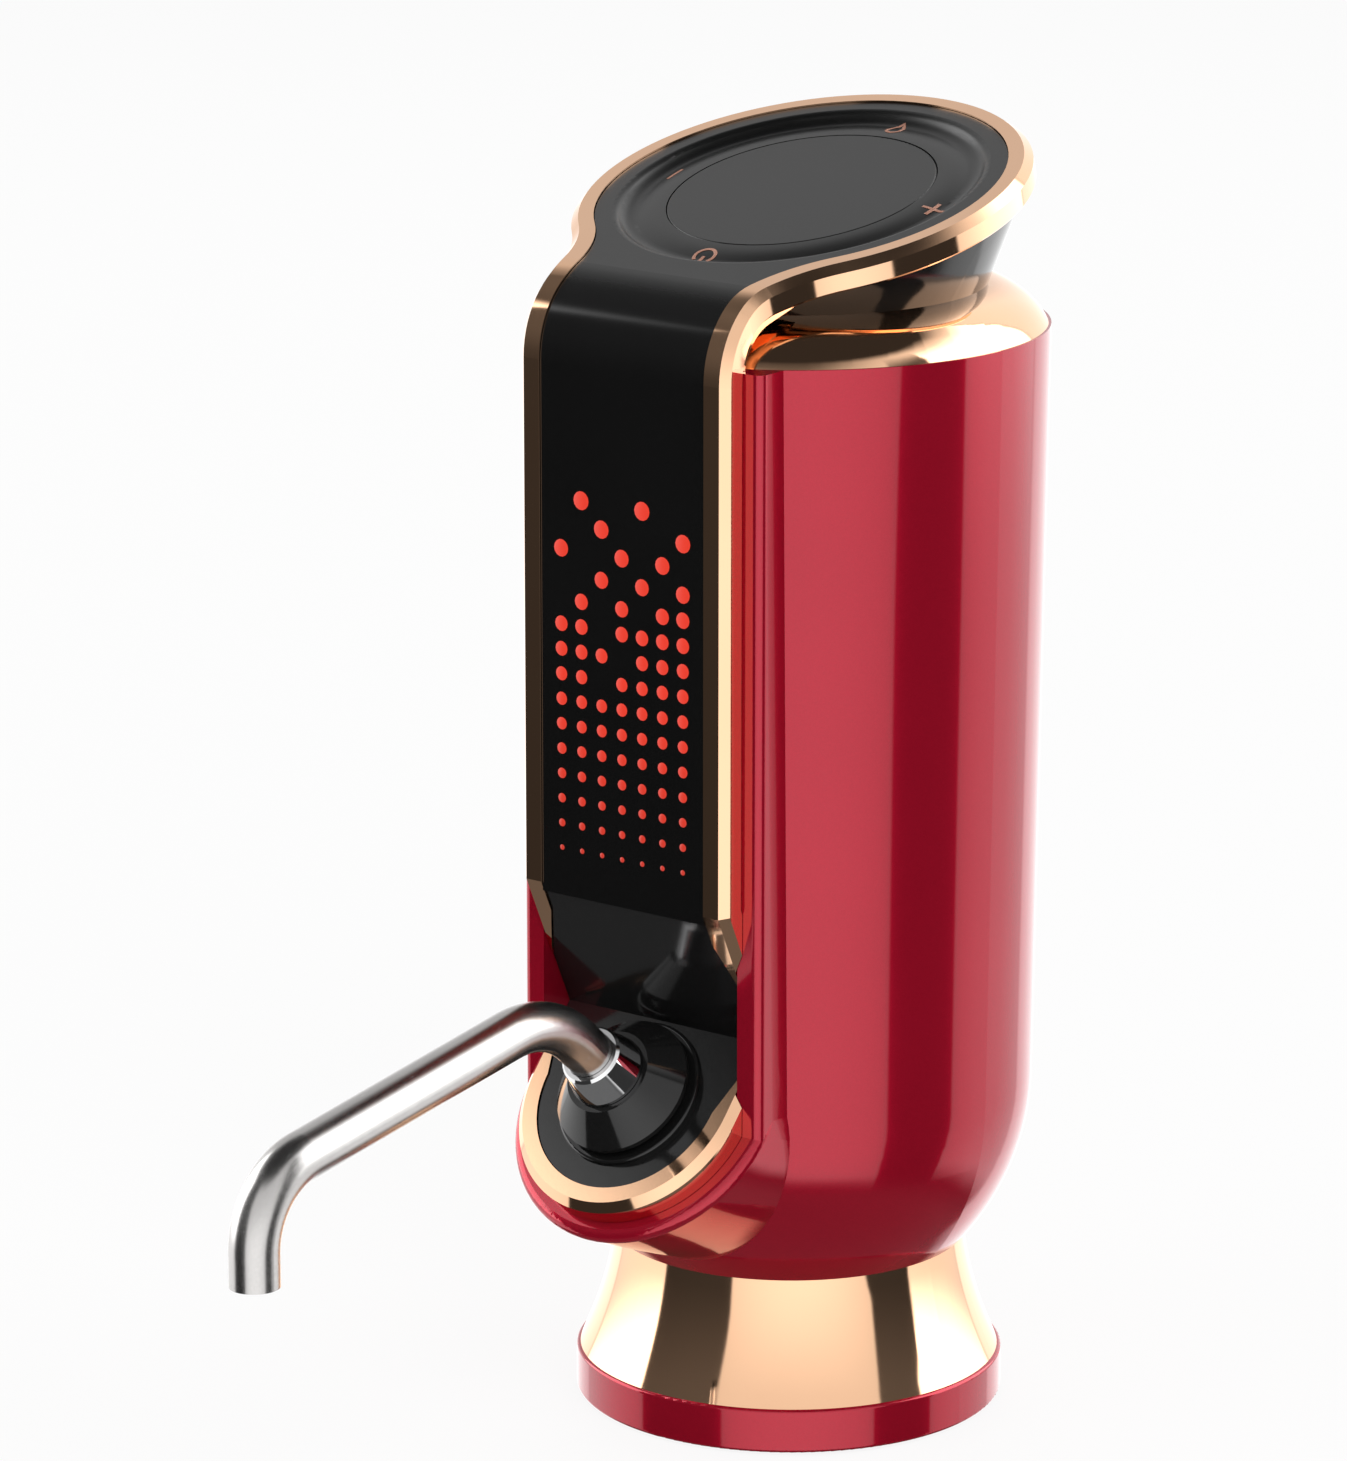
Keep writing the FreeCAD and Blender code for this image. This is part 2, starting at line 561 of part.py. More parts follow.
# ---------------------------------------------------------------- the stand
def stand_pieces():
    foot_hole = PAD_RADIUS - SCREW_HEAD_RADIUS - FOOT_SCREW_MARGIN
    places = on_circle(foot_hole, (45.0, 135.0, 225.0, 315.0))
    ledge_bore = PAD_RADIUS + FIT_GAP
    round_mid = FOOT_EDGE_ROUND * (1 - math.sqrt(0.5))
    profile = section_line([(FOOT_RADIUS - FOOT_EDGE_ROUND, FOOT_LIFT), (ledge_bore, FOOT_LIFT),
                            (ledge_bore, FLOOR_PLATE_TOP), (FOOT_LEDGE_RADIUS, FLOOR_PLATE_TOP),
                            (FOOT_LEDGE_RADIUS, FOOT_TOP), (FLARE_FOOT_RADIUS, FOOT_TOP)])
    profile.append(section_arc((FLARE_FOOT_RADIUS, FOOT_TOP),
                               (FOOT_RADIUS - round_mid * 0.9, FOOT_TOP - round_mid * 0.9),
                               (FOOT_RADIUS, FOOT_TOP - FOOT_EDGE_ROUND)))
    profile += section_line([(FOOT_RADIUS, FOOT_TOP - FOOT_EDGE_ROUND),
                             (FOOT_RADIUS, FOOT_LIFT + FOOT_EDGE_ROUND)])
    profile.append(section_arc((FOOT_RADIUS, FOOT_LIFT + FOOT_EDGE_ROUND),
                               (FOOT_RADIUS - round_mid, FOOT_LIFT + round_mid),
                               (FOOT_RADIUS - FOOT_EDGE_ROUND, FOOT_LIFT)))
    foot_ring = without(revolved(profile), [
        cylinder(SCREW_RADIUS + SCREW_FIT, FLOOR_PLATE_TOP - 1, FOOT_TOP - 0.4, place) for place in places])

    floor = cylinder(PAD_RADIUS, PAD_THICKNESS, FLOOR_PLATE_TOP)
    sunk = PAD_THICKNESS + SCREW_HEAD_HEIGHT
    floor = without(floor, [cylinder(SCREW_HEAD_RADIUS + SCREW_FIT, 0, sunk, place) for place in places])
    floor = without(floor, [cylinder(SCREW_RADIUS + SCREW_FIT, 0, FAR, place) for place in places])
    screws = [pan_screw(place, sunk, FOOT_TOP - 0.6 - sunk, 1) for place in places]

    mid_z = (FOOT_TOP + BODY_BASE) / 2
    mid_r = (FLARE_FOOT_RADIUS + FLARE_TOP_RADIUS) / 2 - FLARE_SAG
    flange_base = BODY_BASE - SEAT_FLANGE_THICKNESS
    flare = [section_arc((FLARE_FOOT_RADIUS, FOOT_TOP), (mid_r, mid_z), (FLARE_TOP_RADIUS, BODY_BASE))]
    flare += section_line([(FLARE_TOP_RADIUS, BODY_BASE), (SEAT_FLANGE_BORE, BODY_BASE),
                           (SEAT_FLANGE_BORE, flange_base), (FLARE_TOP_RADIUS - FLARE_WALL, flange_base)])
    flare.append(section_arc((FLARE_TOP_RADIUS - FLARE_WALL, flange_base), (mid_r - FLARE_WALL, mid_z),
                             (FLARE_FOOT_RADIUS - FLARE_WALL, FOOT_TOP)))
    flare += section_line([(FLARE_FOOT_RADIUS - FLARE_WALL, FOOT_TOP), (FLARE_FOOT_RADIUS, FOOT_TOP)])
    seat_base = BODY_BASE - SEAT_RING_DEPTH
    stand_flare = revolved(flare).cut(ring(SEAT_RING_OUTER, SEAT_RING_INNER, seat_base, BODY_BASE + 1))

    cup_top = WEIGHT_TOP + DRIP_CUP_HEIGHT
    cup = cylinder(DRIP_CUP_RADIUS, WEIGHT_TOP, cup_top)
    cup = cup.cut(cylinder(DRIP_CUP_RADIUS - DRIP_CUP_WALL, WEIGHT_TOP + DRIP_CUP_WALL, cup_top + 1))
    return {
        "foot_pad": cylinder(PAD_RADIUS, 0, PAD_THICKNESS),
        "foot_ring": foot_ring,
        "stand_floor": floor,
        "stand_weight": cylinder(FOOT_LEDGE_RADIUS - FIT_GAP, FLOOR_PLATE_TOP, WEIGHT_TOP),
        "stand_screws": Part.makeCompound(screws),
        "stand_flare": stand_flare,
        "seat_ring": ring(SEAT_RING_OUTER, SEAT_RING_INNER, seat_base, BODY_BASE),
        "drip_cup": cup,
    }


# ---------------------------------------------------------------- the red body
def bowl_radius(z, sunk):
    """Radius of the bowl's section at a height, sunk by a wall."""
    radius = BOWL_RADIUS - sunk
    return BODY_LOW_RADIUS - BOWL_RADIUS + math.sqrt(radius ** 2 - (BOWL_TOP - z) ** 2)


def body_of_revolution(sunk, low, high):
    """Bowl and slightly tapered side as one solid, sunk by a wall, between two heights."""
    top_r = BODY_LOW_RADIUS + (BODY_TOP_RADIUS - BODY_LOW_RADIUS) * (high - BOWL_TOP) / (BODY_TOP - BOWL_TOP)
    mid = (low + BOWL_TOP) / 2
    edges = [section_arc((bowl_radius(low, sunk), low), (bowl_radius(mid, sunk), mid),
                         (BODY_LOW_RADIUS - sunk, BOWL_TOP))]
    edges += section_line([(BODY_LOW_RADIUS - sunk, BOWL_TOP), (top_r - sunk, high), (0, high), (0, low),
                           (bowl_radius(low, sunk), low)])
    return revolved(edges)


def lip_meeting_height():
    """Height at which the upright lip's front meets the plane of the chin's lip."""
    at = chin_point(0, -LIP_DROP)
    return at.z + (LIP_FRONT - at.y) * math.tan(math.radians(CHIN_TILT))


def front_boss():
    """Raised surround of the fascia: an upright block and a leaning round under the chin."""
    low = lip_meeting_height() - LIP_OVERLAP
    rear_half = LIP_HALF_WIDTH + LIP_FRONT * math.tan(math.radians(LIP_LEAN))
    corners = [Vector(-LIP_HALF_WIDTH, LIP_FRONT, low), Vector(LIP_HALF_WIDTH, LIP_FRONT, low),
               Vector(rear_half, 0, low), Vector(-rear_half, 0, low)]
    upright = Part.Face(Part.makePolygon(corners + corners[:1])).extrude(Vector(0, 0, BODY_TOP - low))
    upright = filleted(upright, LIP_ROUND,
                       lambda e: e.BoundBox.YMax < LIP_FRONT + 1 and e.BoundBox.ZLength > 1)
    disc = Part.Face(Part.Wire(Part.makeCircle(LIP_HALF_WIDTH, Vector(0, 0, -LIP_DROP))))
    along = Vector(0, 1, -CHIN_UNDERCUT).normalize() * CHIN_BOSS_LENGTH
    chin = on_chin(disc).extrude(along)
    rim_y = chin_point(0, -LIP_DROP)
    chin = filleted(chin, LIP_ROUND, lambda e: abs(e.BoundBox.Center.y - rim_y.y) < 0.5 and e.Length > 60)
    return upright.fuse(chin)


def body_shell():
    outer = body_of_revolution(0, BODY_BASE, BODY_TOP).fuse(front_boss())
    room = body_of_revolution(BODY_WALL, BODY_BASE + BODY_FLOOR, BODY_TOP)
    room = room.fuse(cylinder(BODY_TOP_RADIUS - BODY_WALL, BODY_TOP - 1, BODY_TOP + 1))
    room = room.cut(front_space(CHANNEL_HALF_WIDTH + CHANNEL_BACK_WALL, CHANNEL_BACK_WALL))
    wall_back = -FRAME_DEPTH - CHANNEL_BACK_WALL
    nut_well = on_chin(cylinder(NUT_WELL_RADIUS, wall_back - 5.0, wall_back))
    shank_well = on_chin(cylinder(MOUNT_SHANK_RADIUS + MOVING_GAP, MOUNT_SHANK_END - 1.5, 0))
    shell = outer.cut(room)
    posts = [cylinder(POST_RADIUS, BODY_BASE + 2, DECK_BASE, place)
             for place in on_circle(POST_CIRCLE, POST_ANGLES)]
    posts = [post.common(body_of_revolution(BODY_WALL / 2, BODY_BASE + 1, BODY_TOP)) for post in posts]
    ledge_top = TOP_PLATE_BASE
    ledge = ring(BODY_TOP_RADIUS - BODY_WALL / 2, BODY_TOP_RADIUS - BODY_WALL - TOP_LEDGE_WIDTH,
                 ledge_top - TOP_LEDGE_HEIGHT, ledge_top)
    ledge = ledge.cut(block(-FAR, FAR, -FAR, FRAME_BACK + CHANNEL_BACK_WALL - 1, 0, FAR * 3))
    for rib in posts + [ledge]:
        shell = shell.fuse(rib)
    hole_foot = DECK_BASE - DECK_SCREW_GRIP - SCREW_HOLE_SPARE
    holes = [cylinder(SCREW_RADIUS + SCREW_FIT, hole_foot, DECK_BASE + 1, place)
             for place in on_circle(POST_CIRCLE, POST_ANGLES)]
    holes += [cylinder(SCREW_RADIUS + SCREW_FIT, BODY_BASE + 0.6, COLLAR_PLATE_BASE + 1, place)
              for place in on_circle(COLLAR_SCREW_CIRCLE, POST_ANGLES)]
    holes += [front_space(CHANNEL_HALF_WIDTH, 0), strap_room(CHANNEL_HALF_WIDTH, FRAME_DEPTH + FIT_GAP),
              strap_room(FLANGE_HALF_WIDTH + FIT_GAP, FLANGE_DEPTH + FIT_GAP), nut_well, shank_well,
              cylinder(BOTTLE_COLLAR_RADIUS + FIT_GAP, 0, COLLAR_PLATE_BASE + 0.5),
              port_bar(FIT_GAP * 3, MAIN_BOARD_Y, FAR / 2),
              block(-CABLE_HALF_WIDTH, CABLE_HALF_WIDTH, FRAME_BACK - 1, FRAME_BACK + 2 * CHANNEL_BACK_WALL,
                    CABLE_SLOT_BASE, CABLE_SLOT_BASE + CABLE_SLOT_HEIGHT)]
    return {"body_shell": without(shell, holes)}


def port_bar(grown, y0, y1):
    """Rounded bar along Y in the shape of the charging port, grown all round."""
    high = PORT_HEIGHT + 2 * grown
    wide = PORT_WIDTH + 2 * grown
    bar = block(-wide / 2 + high / 2, wide / 2 - high / 2, y0, y1, PORT_Z - high / 2, PORT_Z + high / 2)
    ends = [Part.makeCylinder(high / 2, y1 - y0, Vector(x, y0, PORT_Z), Vector(0, 1, 0))
            for x in (-wide / 2 + high / 2, wide / 2 - high / 2)]
    return fused([bar] + ends)


def strap_room(half_width, depth):
    """Room down to a depth for the bent frame where it passes the body's top and the shoulder."""
    room = bent_layer(-FAR / 4, depth, BODY_TOP - 20)
    return room.common(block(-half_width, half_width, -FAR, -20, 0, 3 * FAR))


# ---------------------------------------------------------------- shoulder and neck
def shoulder_pieces():
    neck_inner = NECK_RADIUS - NECK_WALL
    spigot = BODY_TOP_RADIUS - BODY_WALL - FIT_GAP
    mid_z = BODY_TOP + SHOULDER_MID_RISE
    edges = [section_arc((SHOULDER_RADIUS, BODY_TOP), (SHOULDER_MID_RADIUS, mid_z), (NECK_RADIUS, NECK_BASE))]
    edges += section_line([(NECK_RADIUS, NECK_BASE), (neck_inner, NECK_BASE),
                           (neck_inner, NECK_BASE - NECK_WALL),
                           (SHOULDER_MID_RADIUS - 2 * NECK_WALL, BODY_TOP + SHOULDER_FOOT_HEIGHT),
                           (spigot - SPIGOT_WALL, BODY_TOP),
                           (spigot - SPIGOT_WALL, BODY_TOP - SPIGOT_DEPTH), (spigot, BODY_TOP - SPIGOT_DEPTH),
                           (spigot, BODY_TOP), (SHOULDER_RADIUS, BODY_TOP)])
    wall_room = block(-CHANNEL_HALF_WIDTH - CHANNEL_BACK_WALL - FIT_GAP,
                      CHANNEL_HALF_WIDTH + CHANNEL_BACK_WALL + FIT_GAP, -FAR,
                      FRAME_BACK + CHANNEL_BACK_WALL + FIT_GAP, BODY_TOP - 10, BODY_TOP)
    deep_room = strap_room(FRAME_HALF_WIDTH + FIT_GAP, FRAME_DEPTH + FIT_GAP)
    wide_room = strap_room(FLANGE_HALF_WIDTH + FIT_GAP, FLANGE_DEPTH + FIT_GAP)
    shoulder = without(revolved(edges), [deep_room, wide_room, wall_room])

    bottom = Part.Wire(Part.makeCircle(NECK_RADIUS, Vector(0, 0, NECK_BASE)))
    bottom_in = Part.Wire(Part.makeCircle(neck_inner, Vector(0, 0, NECK_BASE)))
    top = on_head(Part.Wire(Part.makeCircle(NECK_TOP_RADIUS, Vector(0, 0, -FLANGE_DEPTH))))
    top_in = on_head(Part.Wire(Part.makeCircle(NECK_TOP_RADIUS - NECK_WALL, Vector(0, 0, -FLANGE_DEPTH))))
    neck = Part.makeLoft([bottom, top], True, True).cut(Part.makeLoft([bottom_in, top_in], True, True))
    plate = cylinder(spigot, TOP_PLATE_BASE, TOP_PLATE_BASE + TOP_PLATE_THICKNESS)
    plate = plate.cut(block(-FAR, FAR, -FAR, FRAME_BACK + CHANNEL_BACK_WALL + FIT_GAP, 0, 3 * FAR))
    plate = plate.cut(block(-TOP_SLOT_HALF_WIDTH, TOP_SLOT_HALF_WIDTH, MAIN_BOARD_Y - 1,
                            MAIN_BOARD_Y - 1 + TOP_SLOT_DEPTH, 0, 3 * FAR))
    plate = without(plate, [cylinder(SCREW_RADIUS + SCREW_FIT, 0, 3 * FAR, place) for place in CARRIER_LEGS])
    return {"shoulder_ring": shoulder, "neck_cone": neck.cut(deep_room), "top_plate": plate}


# ---------------------------------------------------------------- frame, lens, head
def middle_of(edge):
    """Point halfway along an edge."""
    return edge.valueAt((edge.FirstParameter + edge.LastParameter) / 2)


def bevelled_frame():
    """The frame's wide front layer before its window is cut: head, bend and strap."""
    slab = bent_layer(0, FLANGE_DEPTH, dive_height(0, FLANGE_END))
    slab = slab.common(keyhole_prism(FLANGE_HALF_WIDTH, FLANGE_HEAD_RADIUS)).removeSplitter()

    def follows_rim(edge, depth):
        turns = edge.BoundBox.YLength + edge.BoundBox.ZLength > 0.1
        return turns and abs(depth_below(middle_of(edge)) - depth) < 0.001

    slab = slab.makeChamfer(FRAME_BEVEL, [e for e in slab.Edges if follows_rim(e, 0)])
    return slab.makeChamfer(FRAME_FOOT_BEVEL, [e for e in slab.Edges if follows_rim(e, FLANGE_DEPTH)])


def bevelled_dive():
    """The same bevelled section, run down the dive's slope from above its start."""
    lean = math.radians(DIVE_ANGLE)
    along = Vector(0, math.sin(lean), -math.cos(lean))
    inward = Vector(0, math.cos(lean), math.sin(lean))
    start = Vector(0, FRONT_FACE, DIVE_START) - along * FRAME_DEPTH
    half = FLANGE_HALF_WIDTH
    section = [(-half + FRAME_FOOT_BEVEL, FLANGE_DEPTH), (-half, FLANGE_DEPTH - FRAME_FOOT_BEVEL),
               (-half, FRAME_BEVEL), (-FRAME_HALF_WIDTH, 0), (FRAME_HALF_WIDTH, 0), (half, FRAME_BEVEL),
               (half, FLANGE_DEPTH - FRAME_FOOT_BEVEL), (half - FRAME_FOOT_BEVEL, FLANGE_DEPTH)]
    corners = [start + Vector(x, 0, 0) + inward * depth for x, depth in section]
    return Part.Face(Part.makePolygon(corners + corners[:1])).extrude(along * 5 * FRAME_DEPTH)


def dish_room():
    """What the dish takes out of the lens: a round middle, a moat that climbs to a rounded edge."""
    fall = math.radians(DISH_FALL)
    rise = math.radians(DISH_RISE)
    climb = (MOAT_ROUND + DISH_EDGE_ROUND) * (1 - math.cos(rise)) - MOAT_ROUND * (1 - math.cos(fall))
    slope_round = (climb - DISH_DEPTH) / (1 - math.cos(fall))

    def on_arc(centre, radius, angle):
        return (centre[0] + radius * math.sin(angle), centre[1] + radius * math.cos(angle))

    slope_centre = (BUTTON_HOLE_RADIUS, -DISH_LEVEL - slope_round)
    slope = [on_arc(slope_centre, slope_round, turn) for turn in (0, fall / 2, fall)]
    moat_centre = on_arc(slope_centre, slope_round + MOAT_ROUND, fall)
    moat = [on_arc(moat_centre, -MOAT_ROUND, turn) for turn in (fall, (fall - rise) / 2, -rise)]
    edge_centre = on_arc(moat_centre, -MOAT_ROUND - DISH_EDGE_ROUND, -rise)
    edge = [on_arc(edge_centre, DISH_EDGE_ROUND, turn) for turn in (-rise, -rise / 2, 0)]
    profile = [section_arc(*slope), section_arc(*moat), section_arc(*edge)]
    profile += section_line([edge[-1], (edge[-1][0], 1), (0, 1), (0, -DISH_LEVEL), slope[0]])
    return revolved(profile)


def head_pieces():
    inner = keyhole_prism(FRAME_INNER_HALF, HEAD_RADIUS)
    fit = keyhole_prism(FRAME_INNER_HALF - FIT_GAP, HEAD_RADIUS - FIT_GAP)

    toe_end = dive_height(0, FRAME_BACK)
    mitre = math.tan(math.radians(DIVE_ANGLE) / 2)
    below_mitre = side_prism([Vector(0, FRONT_FACE - FRAME_DEPTH, DIVE_START - FRAME_DEPTH * mitre),
                              Vector(0, FRAME_BACK + FRAME_DEPTH, DIVE_START + 2 * FRAME_DEPTH * mitre),
                              Vector(0, FRAME_BACK + FRAME_DEPTH, toe_end - FRAME_DEPTH),
                              Vector(0, FRONT_FACE - FRAME_DEPTH, toe_end - FRAME_DEPTH)], FAR)
    in_front = block(-FAR, FAR, -FAR, FLANGE_END, 0, 3 * FAR)
    strap_zone = block(-FRAME_HALF_WIDTH, FRAME_HALF_WIDTH, -FAR, -20, 0, 3 * FAR)
    core = bent_layer(FLANGE_DEPTH - FRAME_FOOT_BEVEL, FRAME_DEPTH, DIVE_START).common(strap_zone)
    toe = side_prism([Vector(0, FRONT_FACE, DIVE_START), Vector(0, FRAME_BACK, DIVE_START),
                      Vector(0, FRAME_BACK, toe_end)], FRAME_HALF_WIDTH)
    frame = bevelled_frame().cut(below_mitre).fuse(bevelled_dive().common(below_mitre).common(in_front))
    frame = frame.fuse(core).fuse(toe).cut(inner).removeSplitter()
    for side in (-1, 1):
        points = [(side * FRAME_INNER_HALF, DIVE_TAPER_START), (side * FRAME_HALF_WIDTH, toe_end),
                  (side * FRAME_INNER_HALF, toe_end)]
        corners = [Vector(x, -FAR, z) for x, z in points]
        wedge = Part.Face(Part.makePolygon(corners + corners[:1])).extrude(Vector(0, FAR, 0))
        frame = frame.cut(wedge)

    lens = bent_layer(LENS_RECESS, LENS_BACK_DEPTH, DISPLAY_BOTTOM).common(fit)
    lens_ring = ring(HEAD_RADIUS - 1.8, BUTTON_HOLE_RADIUS, -TOUCH_BOARD_LEVEL, -LENS_BACK_DEPTH + 0.5)
    lens = lens.fuse(on_head(lens_ring))
    lens = without(lens, [on_head(dish_room()), on_head(cylinder(BUTTON_HOLE_RADIUS, -FAR / 4, 1))])

    button = cylinder(BUTTON_HOLE_RADIUS - BUTTON_CLEARANCE, -DISH_LEVEL - BUTTON_THICKNESS, -DISH_LEVEL)
    button = filleted(button, BUTTON_EDGE_ROUND, lambda e: e.BoundBox.ZMin > -DISH_LEVEL - BUTTON_EDGE_ROUND)
    pin_places = on_circle(BUTTON_PIN_CIRCLE, (90.0, 210.0, 330.0))
    pin_top = -DISH_LEVEL - BUTTON_THICKNESS
    button = fused([button] + [cylinder(BUTTON_PIN_RADIUS, pin_top - BUTTON_PIN_LENGTH, pin_top, place)
                               for place in pin_places])

    board = cylinder(HEAD_RADIUS - 2.4, -CARRIER_PLATE_LEVEL, -TOUCH_BOARD_LEVEL)
    board = without(board, [cylinder(BUTTON_PIN_RADIUS + 2 * MOVING_GAP, -FAR / 4, 0, place)
                            for place in pin_places])
    switch = cylinder(3.0, -TOUCH_BOARD_LEVEL, -TOUCH_BOARD_LEVEL + 0.25)

    plate_bottom = -CARRIER_PLATE_LEVEL - CARRIER_PLATE_THICKNESS
    carrier = bent_layer(CARRIER_DEPTH, FRAME_DEPTH, LED_BOARD_BOTTOM - 1).common(fit)
    carrier = carrier.common(block(-FRAME_INNER_HALF, FRAME_INNER_HALF, -FAR, -20, 0, 3 * FAR))
    carrier = carrier.cut(on_head(cylinder(HEAD_RADIUS - 1.7, -CARRIER_PLATE_LEVEL, 1)))
    legs = [cylinder(CARRIER_LEG_RADIUS, TOP_PLATE_BASE + TOP_PLATE_THICKNESS, HEAD_CENTRE_Z, place)
            for place in CARRIER_LEGS]
    below_plate = on_head(block(-FAR, FAR, -FAR, FAR, -FAR, plate_bottom + 0.5))
    legs = [leg.common(below_plate) for leg in legs]
    carrier_plate = on_head(cylinder(CARRIER_PLATE_RADIUS, plate_bottom, -CARRIER_PLATE_LEVEL))
    carrier = fused([carrier, carrier_plate] + legs)
    carrier = without(carrier, [on_head(cylinder(BUTTON_PIN_RADIUS + RUNNING_CLEARANCE, -FAR / 4, 0, place))
                                for place in pin_places])
    leg_foot = TOP_PLATE_BASE + TOP_PLATE_THICKNESS
    carrier = without(carrier, [cylinder(SCREW_RADIUS + SCREW_FIT, leg_foot - 1, leg_foot + 8, place)
                                for place in CARRIER_LEGS])
    screws = [pan_screw(place, TOP_PLATE_BASE, TOP_PLATE_THICKNESS + 7, 1) for place in CARRIER_LEGS]

    led_front = FRONT_FACE + LENS_BACK_DEPTH
    led_board = block(-LED_BOARD_HALF_WIDTH, LED_BOARD_HALF_WIDTH, led_front, led_front + LED_BOARD_THICKNESS,
                      LED_BOARD_BOTTOM, LED_BOARD_TOP)
    return {
        "head_frame": frame,
        "fascia_lens": lens,
        "centre_button": on_head(button),
        "touch_board": on_head(board),
        "button_switch": on_head(switch),
        "head_carrier": carrier,
        "head_screws": Part.makeCompound(screws),
        "led_board": led_board,
    }


# ---------------------------------------------------------------- chin and spout
def chin_pieces():
    inner = CHIN_RADIUS - CHIN_RIM
    fit = inner - FIT_GAP
    wide = CHANNEL_HALF_WIDTH - FIT_GAP

    def outline(points, radius):
        """Round bottom of a radius, closed above by points from its right end to its left end."""
        arc = Part.Arc(Vector(-radius, 0, 0), Vector(0, -radius, 0), Vector(radius, 0, 0)).toShape()
        corners = [Vector(x, y, 0) for x, y in points]
        return [arc] + [Part.makeLine(a, b) for a, b in zip(corners, corners[1:])]

    def tall(edges, low, high):
        face = Part.Face(Part.Wire(Part.__sortEdges__(edges)))
        face.translate(Vector(0, 0, low))
        return face.extrude(Vector(0, 0, high - low))

    def plate_of(radius, deep):
        """Round-bottomed plate with straight sides up to the arms' ends."""
        ends = [(radius, 0), (radius, CHIN_ARM), (-radius, CHIN_ARM), (-radius, 0)]
        return tall(outline(ends, radius), -deep, 0)

    window_ends = [(inner, 0), (CHIN_RADIUS, CHIN_ARM), (-CHIN_RADIUS, CHIN_ARM), (-inner, 0)]
    window = tall(outline(window_ends, inner), -FRAME_DEPTH - 1, 1)
    flange = plate_of(CHIN_RADIUS + FRAME_BEVEL, FLANGE_DEPTH)
    rim = [e for e in flange.Edges if e.BoundBox.ZMin > -0.001 and e.BoundBox.YMin < CHIN_ARM - 0.001]
    flange = flange.makeChamfer(FRAME_BEVEL, rim)
    flange = on_chin(flange).common(block(-FAR, FAR, -FAR, FLANGE_END, 0, 3 * FAR))
    bezel = on_chin(plate_of(CHIN_RADIUS, FRAME_DEPTH)).fuse(flange).cut(on_chin(window)).removeSplitter()

    top = crease(LENS_RECESS, LENS_RECESS)
    reach = (top - chin_point(0, -LENS_RECESS)).Length
    plate_edges = outline([(fit, 0), (wide - 0.5, CHIN_ARM), (wide, reach), (-wide, reach),
                           (-wide + 0.5, CHIN_ARM), (-fit, 0)], fit)
    plate = on_chin(tall(plate_edges, -FRAME_DEPTH, -LENS_RECESS))
    dive = side_prism([Vector(0, dive_depth(LENS_RECESS, DISPLAY_BOTTOM), DISPLAY_BOTTOM),
                       Vector(0, dive_depth(LENS_BACK_DEPTH, DISPLAY_BOTTOM), DISPLAY_BOTTOM),
                       crease(LENS_BACK_DEPTH, FRAME_DEPTH), chin_point(reach - 3, -FRAME_DEPTH),
                       chin_point(reach - 3, -LENS_RECESS), top], wide)
    toe_end = dive_height(0, FRAME_BACK)
    narrow = FRAME_INNER_HALF - FIT_GAP
    corners = [Vector(x, -FAR, z) for x, z in (
        (-narrow, DISPLAY_BOTTOM), (-narrow, DIVE_TAPER_START), (-FRAME_HALF_WIDTH + FIT_GAP, toe_end),
        (-wide, toe_end - 0.5), (-wide, 0), (wide, 0), (wide, toe_end - 0.5),
        (FRAME_HALF_WIDTH - FIT_GAP, toe_end), (narrow, DIVE_TAPER_START), (narrow, DISPLAY_BOTTOM))]
    notch = Part.Face(Part.makePolygon(corners + corners[:1])).extrude(Vector(0, FAR, 0))
    fascia = plate.fuse(dive.common(notch)).common(front_space(wide, 0))
    fascia = fascia.cut(on_chin(cylinder(MOUNT_SHANK_RADIUS + FIT_GAP, -FAR / 4, 1)))

    flange_round = Part.Arc(Vector(MOUNT_FLANGE_RADIUS, 0, 0), Vector(MOUNT_FLANGE_RADIUS - 0.1, 0, 0.35),
                            Vector(MOUNT_FLANGE_RADIUS - 0.5, 0, MOUNT_FLANGE_TOP)).toShape()
    outline_points = [(MOUNT_FLANGE_RADIUS - 0.5, MOUNT_FLANGE_TOP), (MOUNT_WAIST_RADIUS, MOUNT_FLANGE_TOP),
                      (MOUNT_WAIST_RADIUS, MOUNT_CUP_FOOT), (MOUNT_CUP_RADIUS, MOUNT_CUP_FOOT),
                      (MOUNT_CUP_RADIUS, MOUNT_CUP_RIM), (MOUNT_NOSE_RADIUS, MOUNT_TOP), (0, MOUNT_TOP),
                      (0, MOUNT_SHANK_END), (MOUNT_SHANK_RADIUS, MOUNT_SHANK_END),
                      (MOUNT_SHANK_RADIUS, -LENS_RECESS), (MOUNT_FLANGE_RADIUS, -LENS_RECESS),
                      (MOUNT_FLANGE_RADIUS, 0)]
    mount = revolved([flange_round] + section_line(outline_points))
    mount = mount.cut(cylinder(COLLAR_SLEEVE_RADIUS + RUNNING_CLEARANCE, -FAR / 4, MOUNT_TOP + 1))
    mount = mount.cut(cylinder(COLLAR_FLANGE_RADIUS + RUNNING_CLEARANCE, -FAR / 4, COLLAR_SLEEVE_END))

    wall_back = -FRAME_DEPTH - CHANNEL_BACK_WALL
    nut = Part.Face(Part.makePolygon([Vector(NUT_ACROSS_FLATS / math.sqrt(3) * math.cos(math.radians(60 * k)),
                                             NUT_ACROSS_FLATS / math.sqrt(3) * math.sin(math.radians(60 * k)),
                                             wall_back - NUT_THICKNESS) for k in range(7)]))
    nut = nut.extrude(Vector(0, 0, NUT_THICKNESS)).cut(cylinder(MOUNT_SHANK_RADIUS, -FAR / 4, 1))

